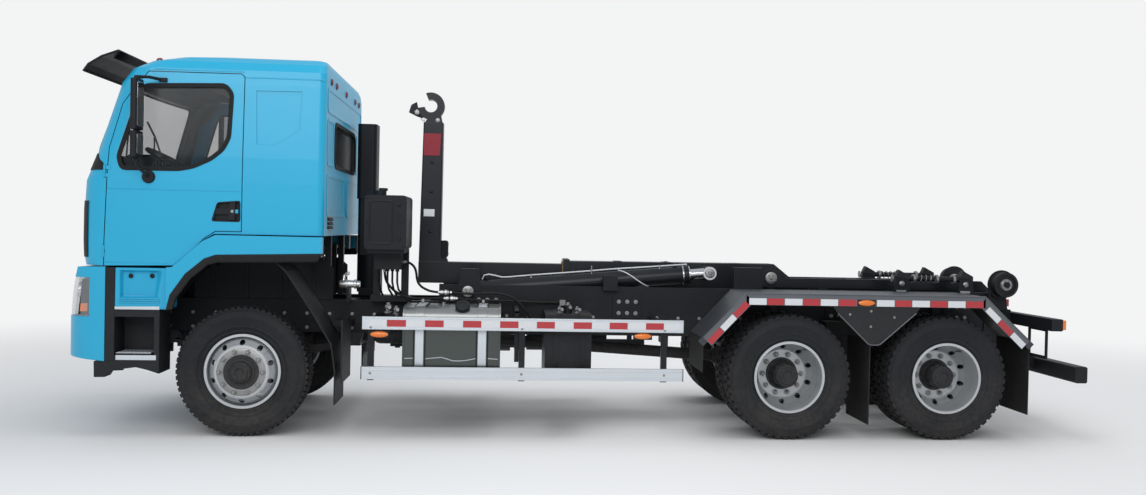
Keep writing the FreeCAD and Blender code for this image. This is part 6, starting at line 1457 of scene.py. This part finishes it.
block(pads, 2.586, 2.6, -0.112, 0.112, 1.389, 1.405)
for y0, y1 in ((-0.1195, -0.1035), (0.1035, 0.1195)):
    block(pads, 2.586, 2.6, y0, y1, 1.205, 1.385)
BRONZE = coated("bronze_pad", (0.26, 0.17, 0.07), roughness=0.4, metallic=0.8, grain=(400.0, 0.05), dust=0.2)
finished(pads, "jib_wear_pads", BRONZE, "boom", "cast_iron", 0.001)


def pin_end(shape, x, y, z, way, radius, bolts):
    """The end of a pivot shaft: a keeper disc with a grease nipple in its middle."""
    turned(shape, [(0.0, 0.0), (radius, 0.0), (radius, 0.006), (radius * 0.8, 0.01), (radius * 0.3, 0.01),
        (radius * 0.2, 0.016), (0.0, 0.018)], (x, y, z), (0, way, 0), 28)
    for index in range(bolts):
        angle = 2.0 * math.pi * (index + 0.5) / bolts
        turned(shape, [(0.0, 0.0), (0.008, 0.0), (0.008, 0.008), (0.0, 0.008)],
            (x + radius * 0.62 * math.cos(angle), y + way * 0.01, z + radius * 0.62 * math.sin(angle)),
            (0, way, 0), 6)


for name, body, spots in (("tip_pin_ends", "tip_frame", ((6.585, 0.2482, 1.144, 0.046),
        (4.506, 0.1942, 1.298, 0.055))), ("rod_pin_ends", "cylinder_rods", ((3.907, 0.3502, 1.335, 0.042),)),
        ("foot_pin_ends", "cylinder_barrels", ((1.75, 0.4702, 1.146, 0.05),))):
    single(name, ZINC, body, "cast_iron",
        *[(pin_end, x, way * y, z, way, radius, 4) for x, y, z, radius in spots for way in (1, -1)])


# Lift cylinders: gloss black barrels with bright gland rings and oil ports, hard chrome stages and rods.
# A light cable is clipped along them.
FOOT_X, FOOT_Z = 1.75, 1.146
CYLINDER_TILT = math.radians(5.0076)
AXIS_WAY = (math.cos(CYLINDER_TILT), 0.0, math.sin(CYLINDER_TILT))


def on_cylinder(along, aside, y):
    """A point beside the cylinder's axis, measured from its foot pin."""
    return (FOOT_X + along * AXIS_WAY[0] - aside * AXIS_WAY[2], y, FOOT_Z + along * AXIS_WAY[2] + aside
        * AXIS_WAY[0])


CHROME = coated("hard_chrome", (0.62, 0.63, 0.65), roughness=0.07, metallic=1.0, shade=0.02,
    grain=(800.0, 0.01), drawn=(1.0, 8.0, 8.0), dust=0.06)
CABLE_GREY = coated("cable_sheath", (0.58, 0.6, 0.63), roughness=0.45, grain=(700.0, 0.08), dust=0.05)
refinish(ARM_BLACK, "cylinder_barrels")
refinish(CHROME, "cylinder_stages", "cylinder_rods")
glands = bmesh.new()
unions = bmesh.new()
for y in (0.275, -0.275):
    turned(glands, [(0.0865, 0.0), (0.093, 0.002), (0.093, 0.012), (0.0865, 0.014)],
        on_cylinder(1.915, 0.0, y), AXIS_WAY)
    turned(glands, [(0.067, 0.0), (0.079, 0.0), (0.079, 0.01), (0.074, 0.013), (0.067, 0.013)],
        on_cylinder(1.9755, 0.0, y), AXIS_WAY)
    for along in (0.165, 1.86):
        turned(unions, [(0.0, 0.0), (0.022, 0.0), (0.022, 0.02), (0.015, 0.022), (0.015, 0.036),
            (0.0, 0.038)], on_cylinder(along, 0.078, y), (-AXIS_WAY[2], 0, AXIS_WAY[0]), 6)
finished(glands, "gland_rings", CHROME, "cylinder_barrels", "chrome")
finished(unions, "oil_ports", ARM_BLACK, "cylinder_barrels", "cast_iron", 0.001)
CABLE_Y = -0.3
cable = bmesh.new()
pipe(cable, [(1.868, CABLE_Y, 1.246), (1.885, CABLE_Y, 1.282), (1.925, CABLE_Y, 1.292),
    (1.985, CABLE_Y, 1.282), (2.045, CABLE_Y, 1.268), (2.11, CABLE_Y, 1.272), (2.3, CABLE_Y, 1.292),
    (2.6, CABLE_Y, 1.318), (2.833, CABLE_Y, 1.339), (3.0, CABLE_Y, 1.356), (3.088, CABLE_Y, 1.364),
    (3.2, CABLE_Y, 1.372), (3.45, CABLE_Y, 1.392), (3.7, CABLE_Y, 1.413)], 0.0065, 8)
DROP_FROM, DROP_TO = 1.345, 1.6
round_the_barrel = []
for step in range(12):
    along = DROP_FROM + (DROP_TO - DROP_FROM) * step / 11.0
    turn = math.radians(14.0 + 138.0 * step / 11.0)
    round_the_barrel.append(on_cylinder(along, 0.0868 * math.cos(turn), -0.275 - 0.0868 * math.sin(turn)))
pipe(cable, [(3.075, CABLE_Y, 1.362)] + round_the_barrel, 0.0055, 8)
finished(cable, "sensor_cable", CABLE_GREY, "cylinder_barrels", "black_plastic")
single("cable_clips", ZINC, "cylinder_barrels", "cast_iron",
    *[(block, x - 0.006, x + 0.006, CABLE_Y - 0.011, CABLE_Y + 0.011, z - 0.03,
        z + 0.01) for x, z in ((2.3, 1.292), (2.838, 1.34), (3.45, 1.392))],
    (block, 2.834, 2.842, CABLE_Y - 0.016, CABLE_Y - 0.008, 1.3, 1.386), rounding=0.001)


# Rear guide rollers: hard black tyres on silver hubs with a ring of bolts. The container locks beside
# them are forged claws on a cross shaft with return springs and bright collars.
ROLLER_X, ROLLER_Z = 6.558, 1.289


def roller_hub(tree):
    return placed(tree, NEAR_THE_AXLE, Axle=(FRONT_AXLE + ROLLER_X, 0.0, ROLLER_Z), Reach=0.052)[0]


for side, way in (("right", 1), ("left", -1)):
    refinish(coated("roller_rubber_" + side, (0.008, 0.0095, 0.0125), (0.03, 0.03, 0.03), roughness=0.5,
        edge=0.004, grain=(300.0, 0.1), dust=0.1, gleam=0.25, patch=((0.42, 0.43, 0.44), roller_hub)),
        "roller_" + side)
    hub = bmesh.new()
    turned(hub, [(0.03, 0.0), (0.052, 0.0), (0.052, 0.018), (0.046, 0.022), (0.032, 0.022), (0.03, 0.018)],
        (ROLLER_X, way * 0.6145, ROLLER_Z), (0, way, 0), 32)
    for index in range(6):
        angle = 2.0 * math.pi * index / 6
        turned(hub, [(0.0, 0.0), (0.007, 0.0), (0.007, 0.007), (0.0, 0.007)],
            (ROLLER_X + 0.041 * math.cos(angle), way * 0.6365, ROLLER_Z + 0.041 * math.sin(angle)),
            (0, way, 0), 6)
    finished(hub, "roller_hub_" + side, ZINC, "roller_" + side, "cast_iron")
paired("lock_collars", ZINC, "chassis", "cast_iron",
    *[(turned, [(0.0245, 0.0), (0.04, 0.0), (0.04, 0.022), (0.036, 0.026), (0.0245, 0.026)],
        (x, 0.46, 1.325), (1, 0, 0), 28) for x in (5.745, 5.96, 6.12)],
    *[form for x in (5.64, 6.24) for form in ((turned, [(0.0, 0.0), (0.026, 0.0), (0.026, 0.01),
        (0.018, 0.016), (0.0, 0.018)], (x - 0.005, 0.4905, 1.28), (0, 1, 0), 20),
        (block, x - 0.052, x + 0.04, 0.4895, 0.4935, 1.2, 1.222))],
    (pipe, [(5.56, 0.46, 1.325), (5.552, 0.46, 1.325)], 0.034, 12), rounding=0.001)
paired("lock_springs", ZINC, "chassis", "cast_iron",
    (pipe, [(5.775 + 0.0051 * i, 0.46 + 0.0325 * math.cos(i * 0.72), 1.325 + 0.0325 * math.sin(i * 0.72))
        for i in range(36)], 0.0042, 6))
paired("lock_claw_faces", CAST_IRON, "chassis", "cast_iron",
    *[(plate, softened([(x - 0.062, 1.338), (x - 0.03, 1.404), (x + 0.066, 1.354), (x + 0.066, 1.31),
        (x + 0.02, 1.33)], 0.01), 0.42, 0.4935) for x in (5.64, 6.24)], rounding=0.004)


# Hoses: rubber hydraulic hose from the pump to bright screw couplings on a bracket above the fuel tank,
# and on from there into the frame. Each hangs free between its two fittings.
HOSE_WIDTH = 0.021


def hose(name, route):
    line = bpy.data.curves.new(name, "CURVE")
    line.dimensions = "3D"
    line.bevel_depth = HOSE_WIDTH / 2.0
    line.bevel_resolution = 3
    line.resolution_u = 10
    line.use_fill_caps = True
    run = line.splines.new("NURBS")
    run.points.add(len(route) - 1)
    for point, (x, y, z) in zip(run.points, route):
        point.co = (x + FRONT_AXLE, y, z, 1.0)
    run.order_u = 3
    run.use_endpoint_u = True
    line.materials.append(RUBBER)
    piece = in_scene(name, line)
    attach(piece, "chassis")


STEEL = coated("bright_steel", (0.62, 0.62, 0.62), roughness=0.24, metallic=0.9, grain=(600.0, 0.03),
    dust=0.04)
COUPLING = [(0.0, 0.0), (0.014, 0.0), (0.014, 0.018), (0.019, 0.02), (0.019, 0.042), (0.014, 0.044),
    (0.014, 0.052), (0.023, 0.055), (0.023, 0.078), (0.017, 0.081), (0.017, 0.096), (0.013, 0.098),
    (0.013, 0.118), (0.0, 0.118)]


def screw_coupling(name, x, z):
    shape = bmesh.new()
    turned(shape, COUPLING, (x, -0.62, z), (1, 0, 0), 12)
    return finished(shape, name, STEEL, "chassis", "cast_iron")


pressure_coupling = screw_coupling("pressure_coupling", 1.501, 1.145)
suction_coupling = screw_coupling("suction_coupling", 1.551, 1.094)
single("hose_ends", ZINC, "chassis", "cast_iron",
    *[(turned, [(0.0, 0.0), (0.017, 0.0), (0.017, 0.016), (0.013, 0.018), (0.013, 0.034), (0.0, 0.034)],
        (x, y, z), axis, 6) for x, y, z, axis in ((1.05, -0.62, 1.3405, (0, 0, -1)),
        (1.2015, -0.62, 1.4, (1, 0, 0)), (2.3, -0.4305, 0.905, (0, -1, 0)))],
    (block, 2.55, 2.6, -0.48, -0.4305, 1.035, 1.085))
single("coupling_bracket", CHASSIS_BLACK, "chassis", "chassis_paint",
    (block, 1.592, 1.6, -0.655, -0.4302, 1.066, 1.172), rounding=0.002)
hose("suction_hose", [(1.05, -0.62, 1.335), (1.05, -0.62, 1.265), (1.085, -0.62, 1.195),
    (1.165, -0.62, 1.125), (1.29, -0.62, 1.086), (1.43, -0.62, 1.09), (1.551, -0.62, 1.094)])
hose("pressure_hose", [(1.212, -0.62, 1.4), (1.242, -0.62, 1.4), (1.285, -0.62, 1.375),
    (1.313, -0.62, 1.331), (1.322, -0.62, 1.241), (1.351, -0.62, 1.195), (1.399, -0.62, 1.167),
    (1.446, -0.62, 1.15), (1.501, -0.62, 1.145)])
hose("long_hose", [(1.615, -0.62, 1.145), (1.76, -0.62, 1.132), (1.91, -0.62, 1.144), (2.06, -0.62, 1.14),
    (2.17, -0.61, 1.09), (2.25, -0.58, 0.995), (2.295, -0.53, 0.915), (2.3, -0.44, 0.905)])
hose("return_hose", [(1.665, -0.62, 1.094), (1.8, -0.605, 1.082), (1.95, -0.565, 1.076),
    (2.12, -0.52, 1.072), (2.3, -0.485, 1.064), (2.44, -0.457, 1.06), (2.555, -0.457, 1.06)])


# Behind the cab: steel oil pipes that drop from the pump to the frame, and the compressor's aluminium
# outlet pipe with its clamps, carried by a bracket on the rail.
single("pump_pipes", CHASSIS_BLACK, "chassis", "chassis_paint",
    *[form for x, y in ((1.0, -0.6), (1.082, -0.7), (1.118, -0.66), (1.168, -0.76)) for form
        in ((pipe, [(x, y, 1.345), (x, y, 1.23), (x + 0.01, y + 0.02, 1.17), (x + 0.02, -0.5, 1.115),
        (x + 0.022, -0.428, 1.1)], 0.009, 8), (stud, 0.017, 0.02, (x, y, 1.3405), (0, 0, -1)))])
single("outlet_pipe", STEEL, "chassis", "aluminium",
    (turned, [(0.0, 0.0), (0.03, 0.0), (0.034, 0.01), (0.034, 0.05), (0.04, 0.052), (0.04, 0.066),
        (0.034, 0.068), (0.031, 0.12), (0.04, 0.124), (0.04, 0.14), (0.028, 0.144), (0.028, 0.17),
        (0.0, 0.172)], (0.668, -0.56, 1.2), (1, 0, 0), 20),
    (pipe, [(0.7, -0.56, 1.226), (0.702, -0.548, 1.262), (0.716, -0.5, 1.285), (0.72, -0.42, 1.285)], 0.016,
        10))
single("outlet_bracket", CHASSIS_BLACK, "chassis", "chassis_paint",
    (block, 0.726, 0.748, -0.572, -0.4, 1.046, 1.172), rounding=0.002)
